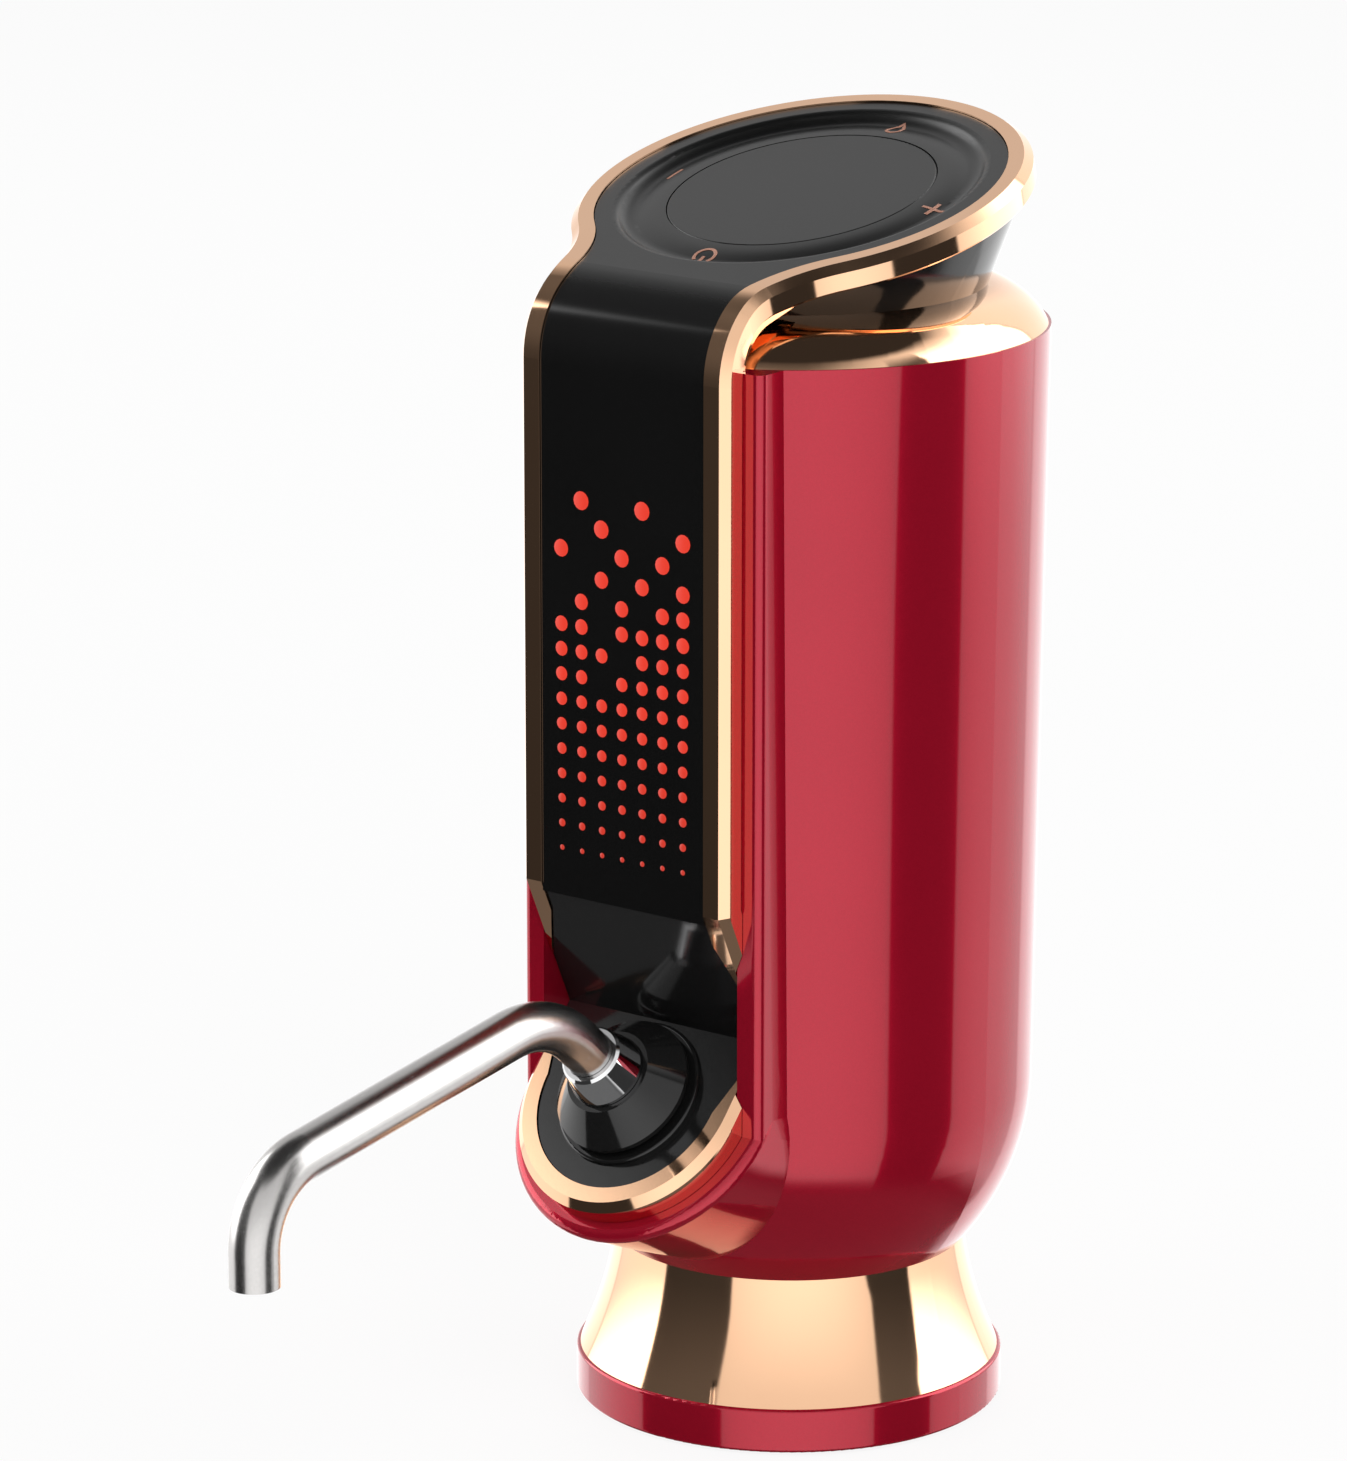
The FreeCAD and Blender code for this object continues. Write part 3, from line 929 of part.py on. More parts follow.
    flange_top = COLLAR_SLEEVE_END - COLLAR_END_PLAY
    flange_foot = flange_top - COLLAR_FLANGE_THICKNESS
    collar_foot = MOUNT_TOP + COLLAR_END_PLAY
    collar = revolved(section_line([
        (COLLAR_FOOT_RADIUS, collar_foot), (COLLAR_FOOT_RADIUS, collar_foot + 0.5),
        (COLLAR_TOP_RADIUS, COLLAR_TOP - 0.4), (COLLAR_TOP_RADIUS - 0.4, COLLAR_TOP), (0, COLLAR_TOP),
        (0, flange_foot), (COLLAR_FLANGE_RADIUS, flange_foot), (COLLAR_FLANGE_RADIUS, flange_top),
        (COLLAR_SLEEVE_RADIUS, flange_top), (COLLAR_SLEEVE_RADIUS, collar_foot),
        (COLLAR_FOOT_RADIUS, collar_foot)]))
    collar = collar.cut(cylinder(SPOUT_RADIUS + RUNNING_CLEARANCE, SPOUT_INNER_END, FAR / 4))
    collar = collar.cut(cylinder(SPOUT_RADIUS - SPOUT_WALL, -FAR / 4, SPOUT_INNER_END + 1))
    seal_bore = SPOUT_RADIUS + RUNNING_CLEARANCE
    seals = [ring(seal_bore + SPOUT_SEAL_DEPTH, seal_bore, low, low + SPOUT_SEAL_HEIGHT)
             for low in SPOUT_SEAL_PLACES]
    collar = without(collar, seals)

    feed_disc = on_chin(cylinder(COLLAR_FLANGE_RADIUS, MOUNT_SHANK_END, flange_foot - COLLAR_END_PLAY))
    feed_start = chin_point(0, MOUNT_SHANK_END + 1.2)
    barb_end = feed_start.y + FEED_BARB_LENGTH + 1.5
    barb = Part.makeCylinder(FEED_BARB_RADIUS, barb_end - feed_start.y, feed_start, Vector(0, 1, 0))
    feed = feed_disc.fuse(barb)
    feed = feed.cut(Part.makeCylinder(FEED_BORE, FAR / 3, feed_start, Vector(0, 1, 0)))
    feed = feed.cut(on_chin(cylinder(FEED_BORE, MOUNT_SHANK_END + 1.2, 0)))
    return {
        "chin_bezel": bezel,
        "chin_fascia": fascia,
        "spout_mount": on_chin(mount),
        "spout_nut": on_chin(nut),
        "spout_collar": on_chin(collar),
        "spout_seals": on_chin(Part.makeCompound(seals)),
        "feed_elbow": feed,
    }


def spout_points():
    """Corners of the spout's centre line: socket end, upper corner, lower corner, outlet."""
    start = chin_point(0, SPOUT_INNER_END)
    out = chin_point(0, 1) - chin_point(0, 0)
    fall = math.tan(math.radians(SPOUT_RUN_FALL))
    run_at_start = SPOUT_RUN_HEIGHT + (start.y - SPOUT_RUN_Y) * fall
    along = (run_at_start - start.z) / (out.z - out.y * fall)
    upper = start + out * along
    lower = Vector(0, SPOUT_OUTLET_Y, SPOUT_RUN_HEIGHT + (SPOUT_OUTLET_Y - SPOUT_RUN_Y) * fall)
    return [start, upper, lower, Vector(0, SPOUT_OUTLET_Y, SPOUT_OUTLET_Z)]


def spout_pieces():
    points = spout_points()
    path = bent_tube_path(points, (SPOUT_UPPER_BEND, SPOUT_LOWER_BEND))
    tube = swept(path, SPOUT_RADIUS).cut(swept(path, SPOUT_RADIUS - SPOUT_WALL))
    return {"spout_tube": tube}


# ---------------------------------------------------------------- bottle socket and liquid path
def socket_pieces():
    collar = cylinder(BOTTLE_COLLAR_RADIUS, BOTTLE_MOUTH, BOTTLE_CAP_BASE)
    plate_top = COLLAR_PLATE_BASE + COLLAR_PLATE_THICKNESS
    collar = collar.fuse(cylinder(COLLAR_PLATE_RADIUS, COLLAR_PLATE_BASE, plate_top))
    mouth = Part.makeCone(BOTTLE_BORE + MOUTH_CHAMFER, BOTTLE_BORE, MOUTH_CHAMFER, Vector(0, 0, BOTTLE_MOUTH))
    places = on_circle(COLLAR_SCREW_CIRCLE, POST_ANGLES)
    gasket_radius = BOTTLE_BORE + BOTTLE_GASKET_LIP
    gasket_seat = cylinder(gasket_radius, GASKET_BASE, FAR)
    collar = without(collar, [cylinder(BOTTLE_BORE, 0, FAR), mouth, gasket_seat])
    collar = without(collar, [cylinder(SCREW_RADIUS + SCREW_FIT, 0, FAR, place) for place in places])
    screws = [pan_screw(place, plate_top, COLLAR_PLATE_THICKNESS + BODY_FLOOR - 0.8, 0) for place in places]
    gasket = ring(gasket_radius, BOTTLE_GASKET_BORE, GASKET_BASE, BOTTLE_CAP_BASE)

    feed_z = chin_point(0, MOUNT_SHANK_END + 1.2).z
    barb_tip = -MANIFOLD_RADIUS - FEED_BARB_LENGTH
    manifold = cylinder(MANIFOLD_RADIUS, MANIFOLD_BASE, MANIFOLD_BASE + MANIFOLD_HEIGHT)
    manifold = manifold.fuse(cylinder(BOTTLE_COLLAR_RADIUS, BOTTLE_CAP_BASE, MANIFOLD_BASE))
    manifold = manifold.fuse(Part.makeCylinder(FEED_BARB_RADIUS, -barb_tip, Vector(0, barb_tip, feed_z),
                                               Vector(0, 1, 0)))
    manifold_top = MANIFOLD_BASE + MANIFOLD_HEIGHT
    manifold = manifold.fuse(cylinder(AIR_TUBE_RADIUS - AIR_TUBE_WALL, manifold_top - 1,
                                      manifold_top + AIR_BARB_HEIGHT, AIR_PORT))
    manifold = without(manifold, [
        cylinder(MANIFOLD_BORE, 0, feed_z + FEED_BARB_RADIUS),
        Part.makeCylinder(FEED_BORE, -barb_tip + 1, Vector(0, barb_tip - 1, feed_z), Vector(0, 1, 0)),
        cylinder(FEED_BORE, 0, FAR, AIR_PORT)])

    elbow_end = chin_point(0, MOUNT_SHANK_END + 1.2).y + FEED_BARB_LENGTH + 1.5
    tube_start = elbow_end - FEED_BARB_GRIP
    tube_end = barb_tip + FEED_BARB_GRIP
    feed_tube = Part.makeCylinder(FEED_BARB_RADIUS + FEED_TUBE_WALL, tube_end - tube_start,
                                  Vector(0, tube_start, feed_z), Vector(0, 1, 0))
    feed_tube = feed_tube.cut(Part.makeCylinder(FEED_BARB_RADIUS, FAR, Vector(0, -FAR / 2, feed_z),
                                                Vector(0, 1, 0)))
    return {
        "bottle_collar": collar,
        "bottle_gasket": gasket,
        "collar_screws": Part.makeCompound(screws),
        "manifold": manifold,
        "feed_tube": feed_tube,
    }


# ---------------------------------------------------------------- deck, battery, boards
def deck_pieces():
    places = on_circle(POST_CIRCLE, POST_ANGLES)
    reach = BODY_LOW_RADIUS - BODY_WALL - DECK_GAP
    deck = cylinder(reach, DECK_BASE, DECK_TOP)
    motor_bore = MOTOR_RADIUS + FIT_GAP
    deck = deck.fuse(ring(motor_bore + 1.5, motor_bore, DECK_TOP - 1, DECK_TOP + 5, PUMP_PLACE))
    nut_room = on_chin(cylinder(NUT_WELL_RADIUS, -FAR / 2, FAR / 2))
    floor_room = front_space(CHANNEL_HALF_WIDTH + CHANNEL_BACK_WALL, CHANNEL_BACK_WALL + FIT_GAP)
    deck = without(deck, [cylinder(MANIFOLD_RADIUS + 1.5, 0, DECK_BASE + 1), nut_room, floor_room,
                          cylinder(AIR_TUBE_RADIUS + 0.8, 0, FAR, AIR_PORT)])
    deck = without(deck, [cylinder(SCREW_RADIUS + SCREW_FIT, 0, FAR, place) for place in places])
    screws = [pan_screw(place, DECK_TOP, DECK_THICKNESS + DECK_SCREW_GRIP, 0) for place in places]

    cell_base = DECK_TOP + CRADLE_WALL
    cell = cylinder(BATTERY_RADIUS, cell_base, cell_base + BATTERY_LENGTH, BATTERY_PLACE)
    bore = BATTERY_RADIUS + FIT_GAP
    cradle = cylinder(bore + CRADLE_WALL, DECK_TOP, DECK_TOP + CRADLE_HEIGHT, BATTERY_PLACE)
    cradle = cradle.cut(cylinder(bore, cell_base, FAR * 2, BATTERY_PLACE))
    cradle = cradle.cut(block(-FAR, FAR, -FAR, BATTERY_PLACE[1] - CRADLE_MOUTH,
                              cell_base + CRADLE_SILL, FAR * 2))

    y1 = MAIN_BOARD_Y + MAIN_BOARD_THICKNESS
    board = block(-MAIN_BOARD_HALF_WIDTH, MAIN_BOARD_HALF_WIDTH, MAIN_BOARD_Y, y1, DECK_TOP,
                  DECK_TOP + MAIN_BOARD_HEIGHT)
    chips = [block(x - w / 2, x + w / 2, MAIN_BOARD_Y - deep, MAIN_BOARD_Y, DECK_TOP + up, DECK_TOP + up + h)
             for x, up, w, h, deep in BOARD_CHIPS]
    port_end = BODY_LOW_RADIUS - PORT_RECESS
    port = port_bar(0, y1, port_end).cut(port_bar(-PORT_WALL, y1 + PORT_BACK_WALL, FAR / 2))
    tongue = block(-TONGUE_HALF_WIDTH, TONGUE_HALF_WIDTH, y1 + PORT_BACK_WALL / 2, port_end - TONGUE_RECESS,
                   PORT_Z - TONGUE_THICKNESS / 2, PORT_Z + TONGUE_THICKNESS / 2)
    return {
        "deck": deck,
        "deck_screws": Part.makeCompound(screws),
        "battery_cell": cell,
        "battery_cradle": cradle,
        "main_board": board,
        "board_parts": Part.makeCompound(chips),
        "charging_port": port.fuse(tongue),
    }


# ---------------------------------------------------------------- air pump
def pump_pieces():
    can_base = DECK_TOP
    can_top = can_base + MOTOR_HEIGHT
    inner = MOTOR_RADIUS - MOTOR_CAN_WALL
    bush = SHAFT_RADIUS + RUNNING_CLEARANCE
    can = cylinder(MOTOR_RADIUS, can_base, can_top - 2, PUMP_PLACE)
    can = can.cut(cylinder(inner, can_base + MOTOR_CAN_WALL, can_top, PUMP_PLACE))
    can = can.fuse(ring(3.0, bush, can_base + MOTOR_CAN_WALL - 0.2, can_base + 4, PUMP_PLACE))
    cap = ring(MOTOR_RADIUS, bush, can_top - 2, can_top, PUMP_PLACE)

    magnet_low = can_base + 5
    magnets = ring(inner, inner - MAGNET_THICKNESS, magnet_low, magnet_low + ARMATURE_HEIGHT, PUMP_PLACE)
    x, y = PUMP_PLACE
    magnets = magnets.cut(block(x - 2, x + 2, y - FAR, y + FAR, 0, FAR * 2))

    armature_low = can_base + 5
    shaft_low = can_base + MOTOR_CAN_WALL + 0.3
    armature = cylinder(ARMATURE_RADIUS, armature_low, armature_low + ARMATURE_HEIGHT, PUMP_PLACE)
    slots = [cylinder(1.3, 0, FAR * 2, (x + sx, y + sy)) for sx, sy in on_circle(ARMATURE_RADIUS - 0.8,
                                                                               (0.0, 120.0, 240.0))]
    armature = without(armature, slots + [cylinder(SHAFT_RADIUS, 0, FAR * 2, PUMP_PLACE)])
    crank_low = can_top + 1.5
    crank_top = crank_low + ECCENTRIC_HEIGHT
    shaft = cylinder(SHAFT_RADIUS, shaft_low, crank_top - 1, PUMP_PLACE)
    eccentric = cylinder(ECCENTRIC_RADIUS, crank_low, crank_top, PUMP_PLACE)
    eccentric = eccentric.cut(cylinder(SHAFT_RADIUS, 0, crank_top - 1, PUMP_PLACE))
    pin = cylinder(CRANK_PIN_RADIUS, crank_top - 0.5, crank_top + 3, (x + CRANK_OFFSET, y))
    eccentric = eccentric.fuse(pin)

    housing_top = can_top + PUMP_HOUSING_HEIGHT
    housing = ring(PUMP_RADIUS, PUMP_RADIUS - PUMP_HOUSING_WALL, can_top, housing_top, PUMP_PLACE)
    swing_low = crank_top + 3 + MOVING_GAP
    diaphragm_top = housing_top + DIAPHRAGM_THICKNESS
    swing = cylinder(PUMP_RADIUS - PUMP_HOUSING_WALL - 2, swing_low, swing_low + 2, PUMP_PLACE)
    studs = [cylinder(1.4, swing_low + 1.5, housing_top, (x + sx, y + sy))
             for sx, sy in on_circle(5.0, (0.0, 120.0, 240.0))]
    swing = fused([swing] + studs)
    diaphragm = cylinder(PUMP_RADIUS, housing_top, diaphragm_top, PUMP_PLACE)
    plate_top = diaphragm_top + VALVE_PLATE_THICKNESS
    valve_plate = cylinder(PUMP_RADIUS, diaphragm_top, plate_top, PUMP_PLACE)
    valve_plate = without(valve_plate, [cylinder(1.2, 0, FAR * 2, (x + sx, y + sy))
                                        for sx, sy in on_circle(5.0, (0.0, 120.0, 240.0))])
    head_top = plate_top + PUMP_HEAD_HEIGHT
    head = cylinder(PUMP_RADIUS, plate_top, head_top, PUMP_PLACE)
    head = head.cut(cylinder(PUMP_RADIUS - 4, plate_top - 1, head_top - 2, PUMP_PLACE))
    head = head.fuse(cylinder(PUMP_NOZZLE_RADIUS, head_top - 0.5, head_top + PUMP_NOZZLE_HEIGHT, PUMP_PLACE))
    head = head.cut(cylinder(FEED_BORE, 0, FAR * 2, PUMP_PLACE))

    places = [(x + sx, y + sy) for sx, sy in on_circle(PUMP_SCREW_CIRCLE, (90.0, 210.0, 330.0))]
    shank = head_top - can_top - 8
    drills = [cylinder(PUMP_SCREW_RADIUS + SCREW_FIT, head_top - shank - 0.5, FAR * 2, place)
              for place in places]
    screws = [pan_screw(place, head_top, shank, 0, PUMP_SCREW_RADIUS) for place in places]

    tube_foot = head_top + 1.5
    over = Vector(x, y, AIR_TUBE_TOP)
    across = Vector(AIR_PORT[0], AIR_PORT[1], AIR_TUBE_TOP)
    valve_top = CHECK_VALVE_BASE + CHECK_VALVE_HEIGHT
    path = bent_tube_path([Vector(x, y, tube_foot), over, across,
                           Vector(AIR_PORT[0], AIR_PORT[1], valve_top + 1)], (AIR_TUBE_BEND, AIR_TUBE_BEND))
    air_tube = swept(path, AIR_TUBE_RADIUS).cut(swept(path, AIR_TUBE_RADIUS - AIR_TUBE_WALL))
    barb = AIR_TUBE_RADIUS - AIR_TUBE_WALL
    check = fused([cylinder(CHECK_VALVE_RADIUS, CHECK_VALVE_BASE, valve_top, AIR_PORT),
                   cylinder(barb, valve_top - 1, valve_top + 5, AIR_PORT),
                   cylinder(barb, CHECK_VALVE_BASE - 3, CHECK_VALVE_BASE + 1, AIR_PORT)])
    check = check.cut(cylinder(FEED_BORE, 0, FAR * 2, AIR_PORT))
    manifold_top = MANIFOLD_BASE + MANIFOLD_HEIGHT
    drop = ring(AIR_TUBE_RADIUS, barb, manifold_top + 0.5, CHECK_VALVE_BASE, AIR_PORT)
    return {
        "motor_can": can,
        "motor_cap": cap,
        "motor_magnets": magnets,
        "motor_armature": armature,
        "motor_shaft": shaft,
        "pump_eccentric": eccentric,
        "pump_housing": without(housing, drills),
        "pump_swing": swing,
        "pump_diaphragm": without(diaphragm, drills),
        "pump_valve_plate": without(valve_plate, drills),
        "pump_head": without(head, drills),
        "pump_screws": Part.makeCompound(screws),
        "air_tube": air_tube,
        "check_valve": check,
        "drop_tube": drop,
    }


# ---------------------------------------------------------------- release valve
def valve_pieces():
    x, y = VALVE_PLACE
    low = DECK_TOP
    high = low + VALVE_HEIGHT
    half = VALVE_WIDTH / 2
    deep = VALVE_DEPTH / 2
    yoke = block(x - half, x + half, y - deep, y + deep, low, high)
    yoke = yoke.cut(block(x - half + VALVE_STEEL, x + half - VALVE_STEEL, y - FAR, y + FAR,
                          low + VALVE_STEEL, high - VALVE_STEEL))
    yoke = yoke.cut(cylinder(PLUNGER_RADIUS + RUNNING_CLEARANCE, high - 3, high + 1, VALVE_PLACE))
    coil = ring(COIL_RADIUS, PLUNGER_RADIUS + 0.6, low + VALVE_STEEL, high - VALVE_STEEL, VALVE_PLACE)
    sleeve = ring(PLUNGER_RADIUS + 0.6, PLUNGER_RADIUS + RUNNING_CLEARANCE, low + VALVE_STEEL,
                  high - VALVE_STEEL, VALVE_PLACE)
    stop = low + VALVE_STEEL + 3
    plunger = cylinder(PLUNGER_RADIUS, stop + PLUNGER_TRAVEL + MOVING_GAP, high + 2.5, VALVE_PLACE)
    core = cylinder(PLUNGER_RADIUS, low + VALVE_STEEL, stop, VALVE_PLACE)
    return {
        "valve_yoke": yoke,
        "valve_coil": fused([coil, sleeve]),
        "valve_core": core,
        "valve_plunger": plunger,
    }


def main():
    os.makedirs("parts", exist_ok=True)
    pieces = {}
    for group in (stand_pieces, body_shell, shoulder_pieces, head_pieces, chin_pieces, spout_pieces,
                  socket_pieces, deck_pieces, pump_pieces, valve_pieces):
        pieces.update(group())
    for name, shape in pieces.items():
        solids = shape.Solids
        if not shape.isValid() or not solids:
            raise ValueError("piece %s is not a valid solid" % name)
        result = solids[0] if len(solids) == 1 else Part.makeCompound(solids)
        result.exportStep("parts/%s.step" % name)
    print(len(pieces), "pieces")


main()
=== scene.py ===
import json
import math
import bmesh
import bpy
import numpy as np
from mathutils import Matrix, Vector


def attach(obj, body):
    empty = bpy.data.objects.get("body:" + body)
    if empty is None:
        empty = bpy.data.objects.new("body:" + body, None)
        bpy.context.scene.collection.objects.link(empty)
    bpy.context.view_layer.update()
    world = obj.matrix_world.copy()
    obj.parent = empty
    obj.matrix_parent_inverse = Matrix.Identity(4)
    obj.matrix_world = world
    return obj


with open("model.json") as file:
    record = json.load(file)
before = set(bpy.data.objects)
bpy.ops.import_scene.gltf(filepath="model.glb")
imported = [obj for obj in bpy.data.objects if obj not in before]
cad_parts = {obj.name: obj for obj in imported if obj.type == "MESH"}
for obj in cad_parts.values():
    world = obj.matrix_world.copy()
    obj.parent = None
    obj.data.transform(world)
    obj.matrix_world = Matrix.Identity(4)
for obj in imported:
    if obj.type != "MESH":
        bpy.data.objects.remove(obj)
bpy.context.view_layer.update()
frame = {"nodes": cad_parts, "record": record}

# The dispenser's finishes, its display and its symbols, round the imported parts. Lengths are metres,
# +Z is up and -Y is the front. Parts keep their own shapes; what is printed or lit on them is added.

MM = 0.001
NODES = frame["nodes"]

# ---------------------------------------------------------------- camera and lamps
CAMERA_PLACE = np.array((621.79, -812.14, 371.09)) * MM
CAMERA_YAW = 38.459
CAMERA_PITCH = 14.492
CAMERA_LENS = 168.28          # of a film 36 wide
CAMERA_FILM = 36.0
CAMERA_REACH = 100.0
BACKGROUND = 1.0
AMBIENT = 0.38                # of the surroundings, for what isn't seen or mirrored
FLOOR_HALF = 14.0
FLOOR_GREY = 0.93
FLOOR_GLOW = 0.9              # share of the floor's white that needs no lamp
LAMP_AIM = np.array((0.0, 0.0, 0.1))
LAMPS = {                     # turn from the camera to the right, rise, distance, width and level
    "key_lamp": (18, 38, 1.5, 0.9, 0.36),
    "left_lamp": (-70, 30, 1.5, 0.8, 0.20),
    "right_lamp": (95, 30, 1.5, 0.8, 0.20),
    "rear_lamp": (180, 40, 1.6, 0.9, 0.22),
}

# ---------------------------------------------------------------- dome of panels and flags
# Directions are a turn from the camera's side, right positive, and a rise over the dome's middle,
# both in degrees. A pair of rises is where one glow ends and the next has fully begun.
DOME_RADIUS = 1.4
DOME_CENTRE = 0.12
DOME_FIELDS = (
    # Bright fields. Each edge's turn shifts to another one between two rises. The glow goes from
    # the middle's to the edges' low down, and to one glow above.
    {"left": (-37.0, -43.0, -3.0, 32.0), "right": (45.5, 51.0, -15.0, -3.0), "foot": -42.0, "top": 56.0,
     "middle": 1.42, "edge": 1.10, "above": 0.88, "above_rises": (-14.0, 34.0)},
    {"left": (81.0, 73.0, -5.0, 27.0), "right": (134.0, 134.0, 0.0, 1.0), "foot": -38.0, "top": 56.0,
     "middle": 1.12, "edge": 1.0, "above": 3.2, "above_rises": (-14.0, 2.0)},
    {"left": (-138.0, -138.0, 0.0, 1.0), "right": (-86.0, -89.0, -5.0, 22.0), "foot": -38.0, "top": 40.0,
     "middle": 1.25, "edge": 1.10, "above": 3.2, "above_rises": (-14.0, 2.0)},
)
FIELD_SIDE_SOFT = 1.0
FIELD_END_SOFT = 4.0
DOME_FLAG = (0.035, 0.115)    # glow of the dark flags, low and high
DOME_REAR = (1.5, 0.68)       # behind the object, low and high
DOME_REAR_RIGHT = 1.2         # behind the object, high and to the right
DOME_REAR_TURNS = (-138.0, 134.0)
DOME_REAR_SOFT = 3.0
DOME_HIGH_RISES = (-18.0, 24.0)
DOME_COVE = (0.14, 1.25)      # round the ceiling's edge: left and middle, then right
DOME_COVE_RISES = (44.0, 54.0)
DOME_CEILING = 0.035
DOME_CEILING_RISES = (53.0, 60.0)
DOME_GROUND = 0.15
DOME_GROUND_RISES = (-50.0, -38.0)
REAR_TO_RIGHT = (0.05, 0.35)  # how far right, of 1, the right's glow begins and is full
COVE_TO_RIGHT = (0.05, 0.8)
DOME_BRIGHTEST = 4.0

# ---------------------------------------------------------------- display and symbols
DOT_STAND_OFF = 0.07 * MM     # from the cover's front to the dots' feet
DOT_PITCH = 3.876 * MM
DOT_FOOT = 95.10 * MM         # height of the lowest row
DOT_COLUMNS = 7
DOT_TOP_ROW = 14
LIT_ROWS = (
    (*range(10), 12),
    (*range(11), 14),
    (*range(7), 8, 11, 13),
    (*range(8), 9, 10, 12),
    (*range(10), 11, 14),
    (*range(11), 12),
    (*range(12), 13),
)
DOT_SMALLEST = 0.42 * MM      # radius in the lowest row
DOT_LARGEST = 1.45 * MM
DOT_GROWTH = 0.62             # power of the row's share by which the radius grows
DOT_SIDES = 14
DOT_RISE = 0.12 * MM
DOT_CROWN = (0.6, 0.8)        # radius and height of the dots' inner ring, as shares
DISPLAY_FADE = (DOT_FOOT - 20 * MM, DOT_FOOT + 30 * MM)     # heights between which its light grows
HEAD_TILT = math.radians(15.0)
HEAD_ORIGIN = np.array((0.0, 1.684, 192.297)) * MM
SATIN_HEIGHTS = (176 * MM, 184 * MM)    # between which the black cover turns from gloss to satin
DISH_FLAT = 20.9 * MM         # radius of the dish's round middle
DISH_LEVEL = -1.1 * MM        # of that middle, from the gold rim's face
SLOPE_ROUND = 18.44 * MM      # section radii of the dish's slope and moat
MOAT_ROUND = 2.72 * MM
SLOPE_FALL = math.radians(14.0)
SLOPE_END = DISH_FLAT + SLOPE_ROUND * math.sin(SLOPE_FALL)
MOAT_RADIUS = DISH_FLAT + (SLOPE_ROUND + MOAT_ROUND) * math.sin(SLOPE_FALL)
MOAT_LEVEL = DISH_LEVEL - SLOPE_ROUND + (SLOPE_ROUND + MOAT_ROUND) * math.cos(SLOPE_FALL)
SYMBOL_CIRCLE = 24.7 * MM
SYMBOL_HALF = 1.9             # the symbols' own sizes are millimetres
BAR_WIDTH = 0.6
LINE_WIDTH = 0.55
POWER_RADIUS = 1.7
POWER_TURNS = (130, 410)      # degrees, round from one side of its gap to the other
POWER_POST = 0.55             # the power mark's stem as a share of a plus's post, and its height
POWER_POST_RISE = 1.25
DROP_RADIUS = 1.15
DROP_TURNS = (30, -210)
DROP_SINK = 0.6
DROP_SIDE = np.array(((0.0, 2.3), (0.4, 1.5), (0.95, 0.55)))
INK_LIFT = 0.02 * MM
INK_THICKNESS = 0.03 * MM


# ---------------------------------------------------------------- shader arithmetic
class Level:
    """A number that varies over a surface. Arithmetic on it adds Math nodes."""

    def __init__(self, graph, socket):
        self.graph = graph
        self.socket = socket

    def _math(self, operation, *values):
        made = self.graph.node("ShaderNodeMath", {"operation": operation}, dict(enumerate(values)))
        return Level(self.graph, made.outputs[0])

    def __add__(self, other):
        return self._math("ADD", self, other)

    def __sub__(self, other):
        return self._math("SUBTRACT", self, other)

    def __rsub__(self, other):
        return self._math("SUBTRACT", other, self)

    def __mul__(self, other):
        return self._math("MULTIPLY", self, other)

    def __truediv__(self, other):
        return self._math("DIVIDE", self, other)

    def __rtruediv__(self, other):
        return self._math("DIVIDE", other, self)

    def __pow__(self, other):
        return self._math("POWER", self, other)

    def __rpow__(self, other):
        return self._math("POWER", other, self)

    __radd__ = __add__
    __rmul__ = __mul__

    def sine(self):
        return self._math("SINE", self)

    def bearing(self, other):
        """Angle in degrees whose tangent is this over the other."""
        return self._math("ARCTAN2", self, other) * math.degrees(1.0)

    def ramp(self, low, high):
        """0 below low, 1 above high, and smooth between."""
        made = self.graph.node("ShaderNodeMapRange", {"interpolation_type": "SMOOTHSTEP"},
                               {"Value": self, "From Min": low, "From Max": high})
        return Level(self.graph, made.outputs[0])

    def within(self, low, high, soft):
        """1 between two ends, which may vary, and 0 outside, over a soft width."""
        return (self - low).ramp(-soft, soft) * (high - self).ramp(-soft, soft)


def blend(low, high, share):
    """From low to high by a share. Each may be a number or a level."""
    return low + (high - low) * share


